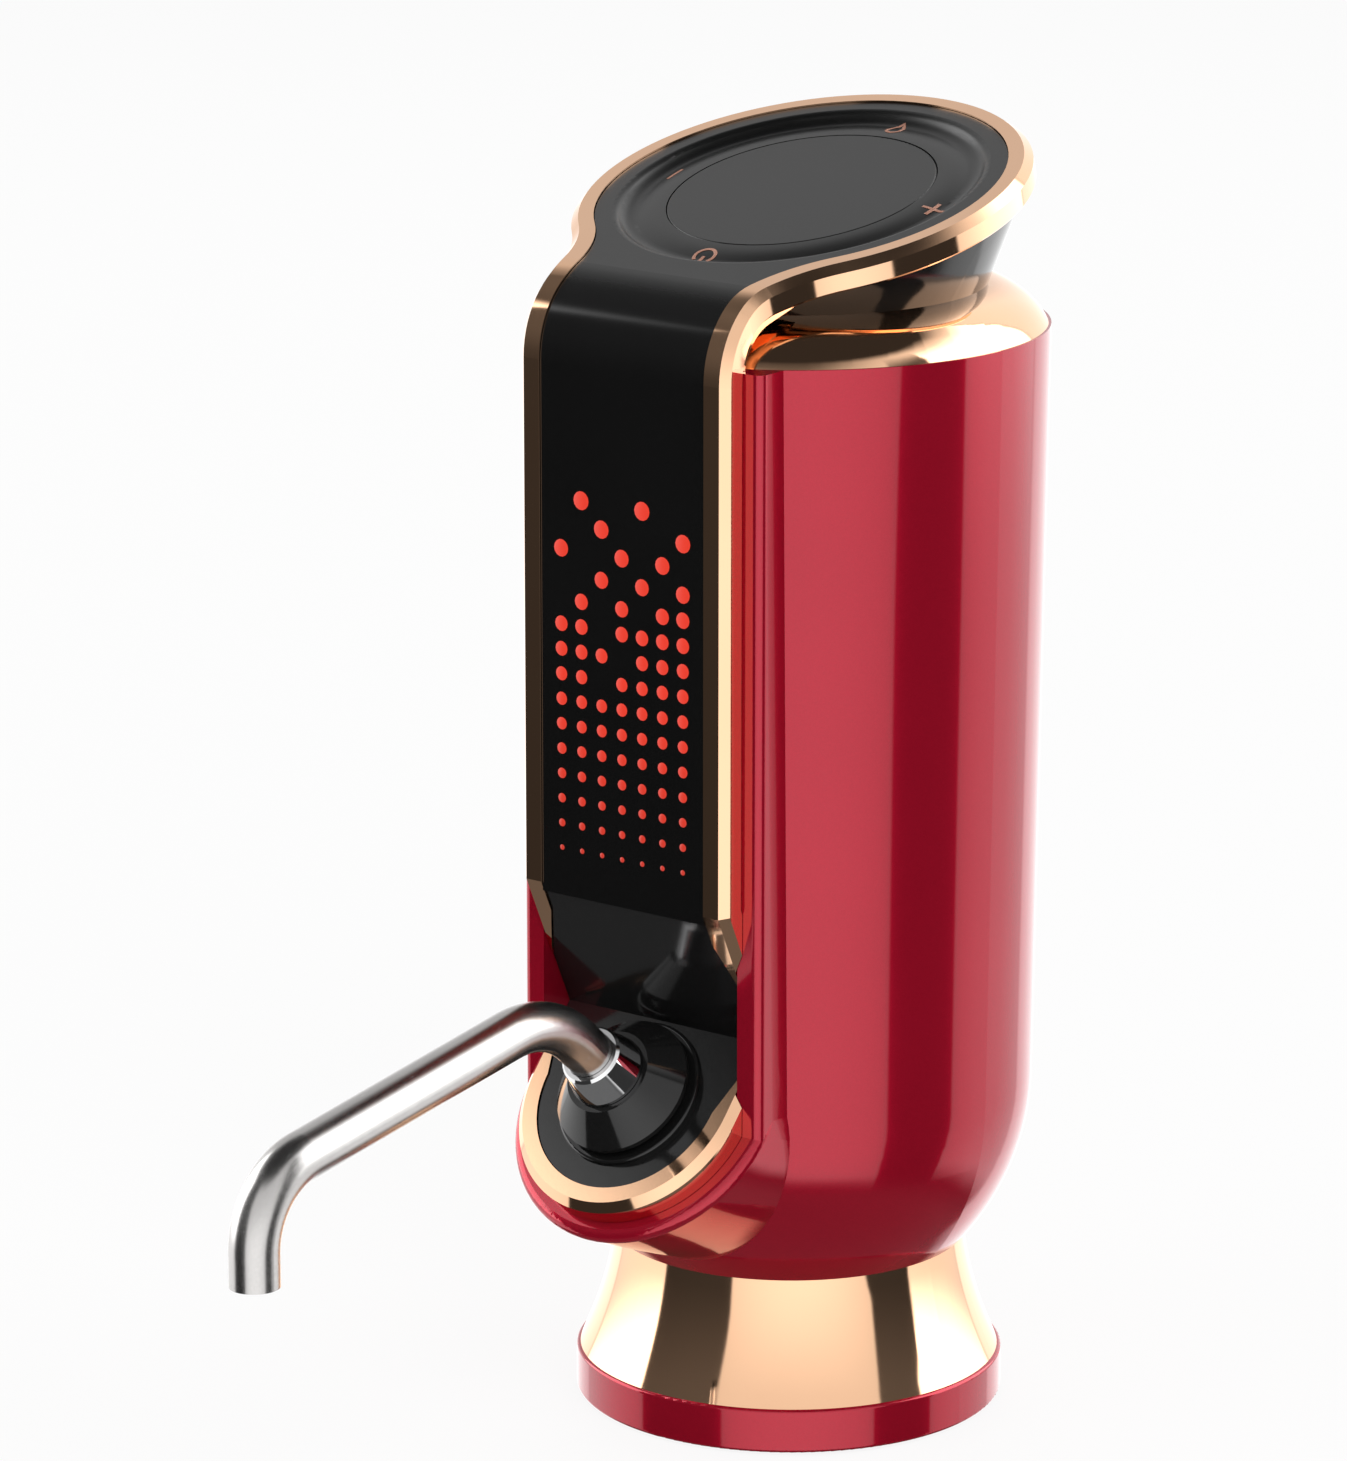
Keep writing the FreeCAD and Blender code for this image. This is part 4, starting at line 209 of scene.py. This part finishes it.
class Graph:
    """The nodes of one finish."""

    def __init__(self, name, world=False):
        owner = bpy.data.worlds.new(name) if world else bpy.data.materials.new(name)
        owner.use_nodes = True
        self.owner = owner
        self.tree = owner.node_tree
        self.tree.nodes.clear()

    def node(self, kind, settings=None, inputs=None):
        """Any node: its settings first, then the values or links of its sockets."""
        made = self.tree.nodes.new(kind)
        for key, value in (settings or {}).items():
            setattr(made, key, value)
        for key, value in (inputs or {}).items():
            socket = made.inputs[key]
            if isinstance(value, Level):
                value = value.socket
            if isinstance(value, bpy.types.NodeSocket):
                self.tree.links.new(value, socket)
            elif isinstance(value, tuple) and len(value) == 3 and socket.type == "RGBA":
                socket.default_value = (*value, 1.0)
            else:
                socket.default_value = value
        return made

    def place(self):
        """Object coordinates as a vector socket."""
        return self.node("ShaderNodeTexCoord").outputs["Object"]

    def axes(self):
        """Object coordinates as three levels."""
        split = self.node("ShaderNodeSeparateXYZ", None, {0: self.place()})
        return [Level(self, socket) for socket in split.outputs]

    def scaled(self, scale):
        """Object coordinates times a scale along each axis, as a vector socket."""
        return self.node("ShaderNodeMapping", None, {"Vector": self.place(), "Scale": scale}).outputs[0]

    def noise(self, size, detail=2.0, stretch=(1.0, 1.0, 1.0)):
        """Soft random pattern with features of about a size, stretched along the axes."""
        place = self.scaled(tuple(1.0 / (size * share) for share in stretch))
        made = self.node("ShaderNodeTexNoise", None, {"Vector": place, "Scale": 1.0, "Detail": detail})
        return Level(self, made.outputs["Fac"])

    def cells(self, size):
        """Random level per cell of a size."""
        place = self.scaled((1.0 / size,) * 3)
        made = self.node("ShaderNodeTexVoronoi", None, {"Vector": place, "Scale": 1.0})
        split = self.node("ShaderNodeSeparateXYZ", None, {0: made.outputs["Color"]})
        return Level(self, split.outputs[0])

    def colour(self, share, low, high):
        """Colour that runs from low to high with a share."""
        made = self.node("ShaderNodeMix", {"data_type": "RGBA"}, {0: share, 6: low, 7: high})
        return made.outputs[2]

    def relief(self, height, depth):
        """Normal of a surface raised by height times depth."""
        return self.node("ShaderNodeBump", None, {"Height": height, "Distance": depth}).outputs[0]

    def light(self, colour, strength=1.0):
        """Glow of a colour, as a shader socket."""
        return self.node("ShaderNodeEmission", None, {"Color": colour, "Strength": strength}).outputs[0]

    def output(self, surface, kind="ShaderNodeOutputMaterial"):
        """End the graph with a shader socket."""
        self.node(kind, None, {"Surface": surface})
        return self.owner

    def finish(self, **sockets):
        """Principled surface; a socket's name is its own with capitals and spaces put back."""
        values = {}
        for key, value in sockets.items():
            values[key.replace("_", " ").title().replace("Ior", "IOR")] = value
        return self.output(self.node("ShaderNodeBsdfPrincipled", None, values).outputs[0])


def shade(tone, share):
    """A tone made darker or lighter by a share."""
    return tuple(share * part for part in tone)


# ---------------------------------------------------------------- finishes
def red_lacquer():
    """Candy red over a fine metallic base, under clear lacquer with faint orange peel."""
    g = Graph("red_lacquer_finish")
    flake = g.cells(0.12 * MM)
    peel = g.noise(2.2 * MM, 1.0)
    drift = g.noise(30 * MM, 1.0)
    base = g.colour(flake * 0.5 + drift * 0.5, (0.40, 0.004, 0.022), (0.50, 0.007, 0.031))
    return g.finish(base_color=base, metallic=0.5, roughness=0.15 + 0.04 * flake, specular_ior_level=0.0,
                    coat_weight=0.9, coat_roughness=0.03, coat_ior=1.5, normal=g.relief(peel, 0.004 * MM))


def rose_gold():
    """Polished rose gold plating with hairline wipe marks."""
    g = Graph("rose_gold_finish")
    wipe = g.noise(0.5 * MM, 3.0, (1.0, 1.0, 14.0))
    haze = g.noise(16 * MM, 2.0)
    base = g.colour(haze, (0.95, 0.565, 0.35), (0.97, 0.60, 0.375))
    return g.finish(base_color=base, metallic=1.0, roughness=0.035 + 0.03 * wipe + 0.02 * haze,
                    normal=g.relief(wipe, 0.0006 * MM))


def black_glass():
    """Smoked black cover: glossy down the strap, satin on the head's panel."""
    g = Graph("black_glass_finish")
    _, _, z = g.axes()
    on_head = z.ramp(*SATIN_HEIGHTS)
    dust = g.noise(0.6 * MM, 3.0)
    smear = g.noise(22 * MM, 2.0)
    base = g.colour(smear, (0.0035, 0.0035, 0.0035), (0.0055, 0.0055, 0.0055))
    return g.finish(base_color=base, roughness=0.09 + 0.22 * on_head + 0.03 * dust, ior=1.5,
                    normal=g.relief(dust, 0.0008 * MM))


def black_gloss():
    """Glossy black moulding with the faintest ripple."""
    g = Graph("black_gloss_finish")
    ripple = g.noise(5 * MM, 1.0)
    grain = g.noise(0.4 * MM, 2.0)
    base = g.colour(grain, (0.006, 0.006, 0.006), (0.010, 0.010, 0.010))
    return g.finish(base_color=base, roughness=0.07 + 0.05 * grain, ior=1.5,
                    normal=g.relief(ripple, 0.006 * MM))


def polished_steel():
    """Stainless tube, finely brushed and then polished."""
    g = Graph("polished_steel_finish")
    lines = g.noise(0.12 * MM, 4.0, (1.0, 12.0, 4.0))
    cloud = g.noise(9 * MM, 2.0)
    base = g.colour(lines * 0.6 + cloud * 0.4, (0.50, 0.485, 0.475), (0.68, 0.665, 0.655))
    return g.finish(base_color=base, metallic=1.0, roughness=0.2 + 0.1 * lines,
                    normal=g.relief(lines, 0.0015 * MM))


def chrome_ring():
    """Mirror chrome of the swivel."""
    g = Graph("chrome_ring_finish")
    wipe = g.noise(0.4 * MM, 2.0)
    base = g.colour(wipe, (0.78, 0.78, 0.79), (0.86, 0.86, 0.87))
    return g.finish(base_color=base, metallic=1.0, roughness=0.03 + 0.03 * wipe)


def plain_steel(name, tone, rough):
    """Sheet or turned steel with drawn lines."""
    g = Graph(name)
    lines = g.noise(0.2 * MM, 3.0, (6.0, 1.0, 1.0))
    base = g.colour(lines, shade(tone, 0.85), tone)
    return g.finish(base_color=base, metallic=1.0, roughness=rough + 0.12 * lines,
                    normal=g.relief(lines, 0.003 * MM))


def moulding(name, tone, rough, grain_size=0.5 * MM, depth=0.008 * MM, **more):
    """Moulded plastic, rubber or wrap with a fine grain."""
    g = Graph(name)
    grain = g.noise(grain_size, 3.0)
    drift = g.noise(12 * MM, 1.0)
    base = g.colour(0.6 * grain + 0.4 * drift, shade(tone, 0.8), shade(tone, 1.1))
    return g.finish(base_color=base, roughness=rough + 0.1 * grain, normal=g.relief(grain, depth), **more)


def circuit_board(name, tone):
    """Solder mask with copper tracks showing faintly through it."""
    g = Graph(name)
    tracks = g.noise(1.6 * MM, 0.0, (0.3, 1.0, 3.0)).ramp(0.49, 0.52)
    base = g.colour(tracks, tone, shade(tone, 1.7))
    return g.finish(base_color=base, roughness=0.35 + 0.05 * tracks, normal=g.relief(tracks, 0.02 * MM))


def winding():
    """Enamelled copper wire laid in turns, with painted shade in the grooves between turns and a painted
    highlight on their crests.
    """
    g = Graph("winding_copper_finish")
    _, _, z = g.axes()
    pitch = 0.35 * MM
    turns = (z * (2 * math.pi / pitch)).sine()
    # painted shade and highlight: the colour runs from dark in the grooves between turns to bright on their
    # crests
    base = g.colour(turns * 0.5 + 0.5, (0.25, 0.07, 0.02), (0.75, 0.30, 0.12))
    return g.finish(base_color=base, metallic=0.9, roughness=0.3 + 0.05 * turns,
                    normal=g.relief(turns, 0.05 * MM))


def display_light():
    """Red light behind each dot, dimmer towards the lowest row."""
    g = Graph("display_light_finish")
    _, _, z = g.axes()
    up = z.ramp(*DISPLAY_FADE)
    grain = g.noise(0.3 * MM, 1.0)
    glow = g.colour(up * 0.9 + grain * 0.1, (0.42, 0.020, 0.010), (0.80, 0.040, 0.018))
    return g.finish(base_color=(0.05, 0.004, 0.002), roughness=0.4,
                    emission_color=glow, emission_strength=1.0)


def symbol_print():
    """Rose gold ink of the head's symbols."""
    g = Graph("symbol_print_finish")
    grain = g.noise(0.25 * MM, 2.0)
    base = g.colour(grain, (0.46, 0.22, 0.15), (0.56, 0.28, 0.20))
    return g.finish(base_color=base, metallic=0.1, roughness=0.45 + 0.1 * grain)


def dress_parts():
    """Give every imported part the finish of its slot."""
    finishes = {
        "red_lacquer": red_lacquer(),
        "rose_gold": rose_gold(),
        "black_glass": black_glass(),
        "black_gloss": black_gloss(),
        "polished_steel": polished_steel(),
        "rubber_black": moulding("rubber_black_finish", (0.02, 0.02, 0.02), 0.6, 0.3 * MM, 0.02 * MM),
        "steel_plate": plain_steel("steel_plate_finish", (0.52, 0.52, 0.53), 0.3),
        "screw_steel": plain_steel("screw_steel_finish", (0.60, 0.60, 0.62), 0.25),
        "motor_metal": plain_steel("motor_metal_finish", (0.58, 0.58, 0.57), 0.22),
        "magnet_dark": moulding("magnet_dark_finish", (0.05, 0.05, 0.055), 0.5),
        "grey_plastic": moulding("grey_plastic_finish", (0.055, 0.055, 0.058), 0.45),
        "food_plastic": moulding("food_plastic_finish", (0.72, 0.72, 0.70), 0.35, subsurface_weight=0.1),
        "silicone_tube": moulding("silicone_tube_finish", (0.66, 0.66, 0.64), 0.4, subsurface_weight=0.3),
        "chip_black": moulding("chip_black_finish", (0.015, 0.015, 0.016), 0.5),
        "cell_wrap": moulding("cell_wrap_finish", (0.02, 0.10, 0.36), 0.25, 3 * MM, 0.01 * MM),
        "board_green": circuit_board("board_green_finish", (0.012, 0.085, 0.03)),
        "winding_copper": winding(),
    }
    for part in frame["record"]["subparts"]:
        NODES[part["node"]].material_slots[0].material = finishes[part["material_slot"]]
    NODES["spout_collar"].material_slots[0].material = chrome_ring()


# ---------------------------------------------------------------- pieces
def mesh_piece(name, points, faces, finish):
    """Put worked out points and faces into an object with a finish."""
    mesh = bpy.data.meshes.new(name)
    mesh.from_pydata(points.tolist(), [], faces)
    mesh.update()
    mesh.shade_smooth()
    mesh.materials.append(finish)
    piece = bpy.data.objects.new(name, mesh)
    bpy.context.scene.collection.objects.link(piece)
    return piece


def display_dots():
    """Low domes on a square pitch, one for each lit row of each column.

    A dome is an outer ring at its foot, a smaller raised ring and a middle point on top. Its radius
    grows from the smallest to the largest by a power of its row's share of the top row.
    """
    around = np.arange(DOT_SIDES)
    turn = around * 2 * math.pi / DOT_SIDES
    circle = np.stack([np.cos(turn), np.zeros(DOT_SIDES), np.sin(turn)], 1)
    crown_radius, crown_height = DOT_CROWN
    dome = np.concatenate([circle, circle * crown_radius, np.zeros((1, 3))])
    height = np.concatenate([np.zeros(DOT_SIDES), np.full(DOT_SIDES, crown_height), [1.0]])
    after = (around + 1) % DOT_SIDES
    band = np.stack([around, after, after + DOT_SIDES, around + DOT_SIDES], 1)
    cap = np.stack([around + DOT_SIDES, after + DOT_SIDES, np.full(DOT_SIDES, 2 * DOT_SIDES)], 1)

    lit = [(column, row) for column, rows in enumerate(LIT_ROWS) for row in rows]
    column, row = np.array(lit).T
    glass_front = min(corner[1] for corner in NODES["fascia_lens"].bound_box)
    across = (column - (DOT_COLUMNS - 1) / 2) * DOT_PITCH
    front = np.full(len(lit), glass_front - DOT_STAND_OFF)
    middle = np.stack([across, front, DOT_FOOT + row * DOT_PITCH], 1)
    radius = blend(DOT_SMALLEST, DOT_LARGEST, (row / DOT_TOP_ROW) ** DOT_GROWTH)
    points = middle[:, None] + dome * radius[:, None, None]
    points[..., 1] -= height * DOT_RISE

    start = np.arange(len(lit))[:, None, None] * len(dome)
    faces = (band + start).reshape(-1, 4).tolist() + (cap + start).reshape(-1, 3).tolist()
    piece = mesh_piece("display_dots", points.reshape(-1, 3), faces, display_light())
    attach(piece, "dispenser")


def on_dish(around, out, angle):
    """Points on the dish, from lengths around and out from a symbol's middle at an angle.

    The slope's section is an arc that bends down from the flat middle, and the moat's is an arc that
    bends up again after it: each is its centre's height plus or less the root of its radius squared
    less the distance from its centre squared. The points then lean with the head.
    """
    radius = SYMBOL_CIRCLE + out
    turn = angle + around / SYMBOL_CIRCLE
    slope = DISH_LEVEL - SLOPE_ROUND + np.sqrt(SLOPE_ROUND ** 2 - (radius - DISH_FLAT) ** 2)
    off_moat = np.clip(radius - MOAT_RADIUS, -MOAT_ROUND, MOAT_ROUND)
    moat = MOAT_LEVEL - np.sqrt(MOAT_ROUND ** 2 - off_moat ** 2)
    x = radius * np.cos(turn)
    up = radius * np.sin(turn)
    high = np.where(radius < SLOPE_END, slope, moat) + INK_LIFT
    y = up * math.cos(HEAD_TILT) - high * math.sin(HEAD_TILT)
    z = up * math.sin(HEAD_TILT) + high * math.cos(HEAD_TILT)
    return HEAD_ORIGIN + np.stack([x, y, z], -1)


def stroke(route, width, angle, closed=False):
    """Flat ribbon along a route in a symbol's own plane, laid on the dish.

    Each point of the route gives two, half the width to either side, square to the way from the
    point before it to the point after it.
    """
    route = np.asarray(route, float) * MM
    along = np.gradient(route, axis=0)
    if closed:
        along = np.roll(route, -1, 0) - np.roll(route, 1, 0)
    along /= np.linalg.norm(along, axis=1)[:, None]
    side = np.stack([-along[:, 1], along[:, 0]], 1) * width * MM / 2
    edge = np.stack([route - side, route + side], 1).reshape(-1, 2)
    points = on_dish(edge[:, 0], edge[:, 1], angle)
    index = np.arange(len(route) if closed else len(route) - 1)
    after = (index + 1) % len(route)
    faces = np.stack([2 * index, 2 * after, 2 * after + 1, 2 * index + 1], 1)
    return points, faces


def arc_route(radius, low, high, count, middle=(0.0, 0.0)):
    """Points on an arc, from one angle to another in degrees."""
    turn = np.radians(np.linspace(low, high, count))
    return np.stack([middle[0] + radius * np.cos(turn), middle[1] + radius * np.sin(turn)], 1)


def head_symbols():
    """Minus, plus, power and drop marks on the dish."""
    finish = symbol_print()
    line = np.linspace(-SYMBOL_HALF, SYMBOL_HALF, 7)[:, None]
    bar = line * (1.0, 0.0)
    post = line * (0.0, 1.0)
    bowl = arc_route(DROP_RADIUS, *DROP_TURNS, 17, (0.0, -DROP_SINK))
    drop = np.concatenate([bowl, DROP_SIDE[::-1] * (-1, 1), DROP_SIDE[1:]])
    stem = post * POWER_POST + (0, POWER_POST_RISE)
    ring = arc_route(POWER_RADIUS, *POWER_TURNS, 25)
    marks = {
        "minus_mark": (180.0, [(bar, BAR_WIDTH, False)]),
        "plus_mark": (0.0, [(bar, BAR_WIDTH, False), (post, BAR_WIDTH, False)]),
        "power_mark": (270.0, [(ring, LINE_WIDTH, False), (stem, LINE_WIDTH, False)]),
        "drop_mark": (90.0, [(drop, LINE_WIDTH, True)]),
    }
    for name, (angle, strokes) in marks.items():
        made = [stroke(route, width, math.radians(angle), closed) for route, width, closed in strokes]
        starts = np.cumsum([0] + [len(points) for points, _ in made[:-1]])
        points = np.concatenate([points for points, _ in made])
        faces = np.concatenate([faces + start for (_, faces), start in zip(made, starts)])
        piece = mesh_piece(name, points, faces.tolist(), finish)
        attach(piece, "dispenser")
        ink = piece.modifiers.new("ink", "SOLIDIFY")
        ink.thickness = INK_THICKNESS


# ---------------------------------------------------------------- studio
def camera_axes():
    """Unit vectors to the camera's right and back, level with the floor."""
    yaw = math.radians(CAMERA_YAW)
    right = np.array((math.cos(yaw), math.sin(yaw), 0.0))
    back = np.array((math.sin(yaw), -math.cos(yaw), 0.0))
    return right, back


def dome_glow(g):
    """How bright the studio is in each direction, from its turn and rise in degrees."""
    x, y, z = g.axes()
    right, back = [x * float(axis[0]) + y * float(axis[1]) for axis in camera_axes()]
    turn = right.bearing(back)
    rise = (z - DOME_CENTRE).bearing((x * x + y * y) ** 0.5)
    to_right = right / (x * x + y * y + (z - DOME_CENTRE) ** 2.0) ** 0.5
    high = rise.ramp(*DOME_HIGH_RISES)

    behind = 1 - turn.within(*DOME_REAR_TURNS, DOME_REAR_SOFT)
    rear_low, rear_high = DOME_REAR
    rear_high = blend(rear_high, DOME_REAR_RIGHT, to_right.ramp(*REAR_TO_RIGHT))
    glow = blend(blend(*DOME_FLAG, high), blend(rear_low, rear_high, high), behind)
    for field in DOME_FIELDS:
        left_turn, right_turn = [blend(turn_low, turn_high, rise.ramp(start, end))
                                 for turn_low, turn_high, start, end in (field["left"], field["right"])]
        half_width = (field["right"][0] - field["left"][0]) / 2
        off_middle = (turn - (field["left"][0] + half_width)) / half_width
        panel = blend(field["middle"], field["edge"], off_middle ** 2.0)
        panel = blend(panel, field["above"], rise.ramp(*field["above_rises"]))
        across = turn.within(left_turn, right_turn, FIELD_SIDE_SOFT)
        glow = blend(glow, panel, across * rise.within(field["foot"], field["top"], FIELD_END_SOFT))
    glow = blend(glow, blend(*DOME_COVE, to_right.ramp(*COVE_TO_RIGHT)), rise.ramp(*DOME_COVE_RISES))
    glow = blend(glow, DOME_CEILING, rise.ramp(*DOME_CEILING_RISES))
    return blend(glow, DOME_GROUND, 1 - rise.ramp(*DOME_GROUND_RISES))


def reflection_dome():
    """Round studio of panels and flags. It shows in reflections, and lights or hides nothing else."""
    g = Graph("dome_light")
    glow = g.colour(dome_glow(g) / DOME_BRIGHTEST, (0.0, 0.0, 0.0), (DOME_BRIGHTEST,) * 3)
    g.output(g.light(glow))
    ball = bmesh.new()
    bmesh.ops.create_icosphere(ball, subdivisions=4, radius=DOME_RADIUS)
    mesh = bpy.data.meshes.new("reflection_dome")
    ball.to_mesh(mesh)
    ball.free()
    place = np.zeros(3 * len(mesh.vertices))
    mesh.vertices.foreach_get("co", place)
    place[2::3] += DOME_CENTRE
    mesh.vertices.foreach_set("co", place)
    mesh.update()
    mesh.materials.append(g.owner)
    dome = bpy.data.objects.new("reflection_dome", mesh)
    bpy.context.scene.collection.objects.link(dome)
    dome.visible_camera = False
    dome.visible_diffuse = False
    dome.visible_shadow = False
    dome.visible_volume_scatter = False


def lamp(name, turn, rise, distance, size, level):
    """Soft round lamp. Its power is such that a white card facing it would reach the level."""
    right, back = camera_axes()
    turn = math.radians(turn)
    rise = math.radians(rise)
    flat_way = back * math.cos(turn) + right * math.sin(turn)
    way = flat_way * math.cos(rise) + np.array((0.0, 0.0, math.sin(rise)))
    data = bpy.data.lights.new(name, "AREA")
    data.shape = "DISK"
    data.size = size
    data.energy = level * math.pi ** 2 * distance ** 2
    light = bpy.data.objects.new(name, data)
    bpy.context.scene.collection.objects.link(light)
    light.location = LAMP_AIM + way * distance
    light.rotation_euler = Vector(way).to_track_quat("Z", "Y").to_euler()
    light.visible_glossy = False
    light.visible_camera = False


def ray_kinds(g):
    """Two levels: 1 for rays from the camera, and 1 for those and for rays off a mirror or through glass."""
    path = g.node("ShaderNodeLightPath")
    kinds = ("Is Camera Ray", "Is Glossy Ray", "Is Transmission Ray")
    camera, glossy, through = [Level(g, path.outputs[kind]) for kind in kinds]
    return camera, (camera + glossy + through).ramp(0.0, 1.0)


def surroundings():
    """White background, dimmer as a light than as a sight."""
    g = Graph("surroundings", world=True)
    _, seen = ray_kinds(g)
    tone = g.colour(seen, (AMBIENT,) * 3, (BACKGROUND,) * 3)
    backdrop = g.node("ShaderNodeBackground", None, {"Color": tone, "Strength": 1.0})
    bpy.context.scene.world = g.output(backdrop.outputs[0], "ShaderNodeOutputWorld")


def paper_floor():
    """Pale paper that takes soft shadows."""
    g = Graph("floor_paper")
    camera, _ = ray_kinds(g)
    paper = g.node("ShaderNodeBsdfDiffuse", None, {"Color": (FLOOR_GREY,) * 3})
    white = g.light((1.0, 1.0, 1.0), BACKGROUND)
    parts = {0: camera * FLOOR_GLOW, 1: paper.outputs[0], 2: white}
    finish = g.output(g.node("ShaderNodeMixShader", None, parts).outputs[0])
    corners = np.array([(-1, -1, 0), (1, -1, 0), (1, 1, 0), (-1, 1, 0)]) * FLOOR_HALF
    floor = mesh_piece("floor", corners, [[0, 1, 2, 3]], finish)
    floor.visible_glossy = False


def product_camera():
    """Camera at the product's three-quarter view from above."""
    data = bpy.data.cameras.new("camera")
    data.lens = CAMERA_LENS
    data.sensor_width = CAMERA_FILM
    data.clip_end = CAMERA_REACH
    camera = bpy.data.objects.new("camera", data)
    bpy.context.scene.collection.objects.link(camera)
    camera.location = CAMERA_PLACE
    camera.rotation_euler = (math.radians(90 - CAMERA_PITCH), 0.0, math.radians(CAMERA_YAW))
    bpy.context.scene.camera = camera
    bpy.context.scene.view_settings.view_transform = "Standard"


product_camera()
surroundings()
paper_floor()
reflection_dome()
for lamp_name, setting in LAMPS.items():
    lamp(lamp_name, *setting)
dress_parts()
display_dots()
head_symbols()
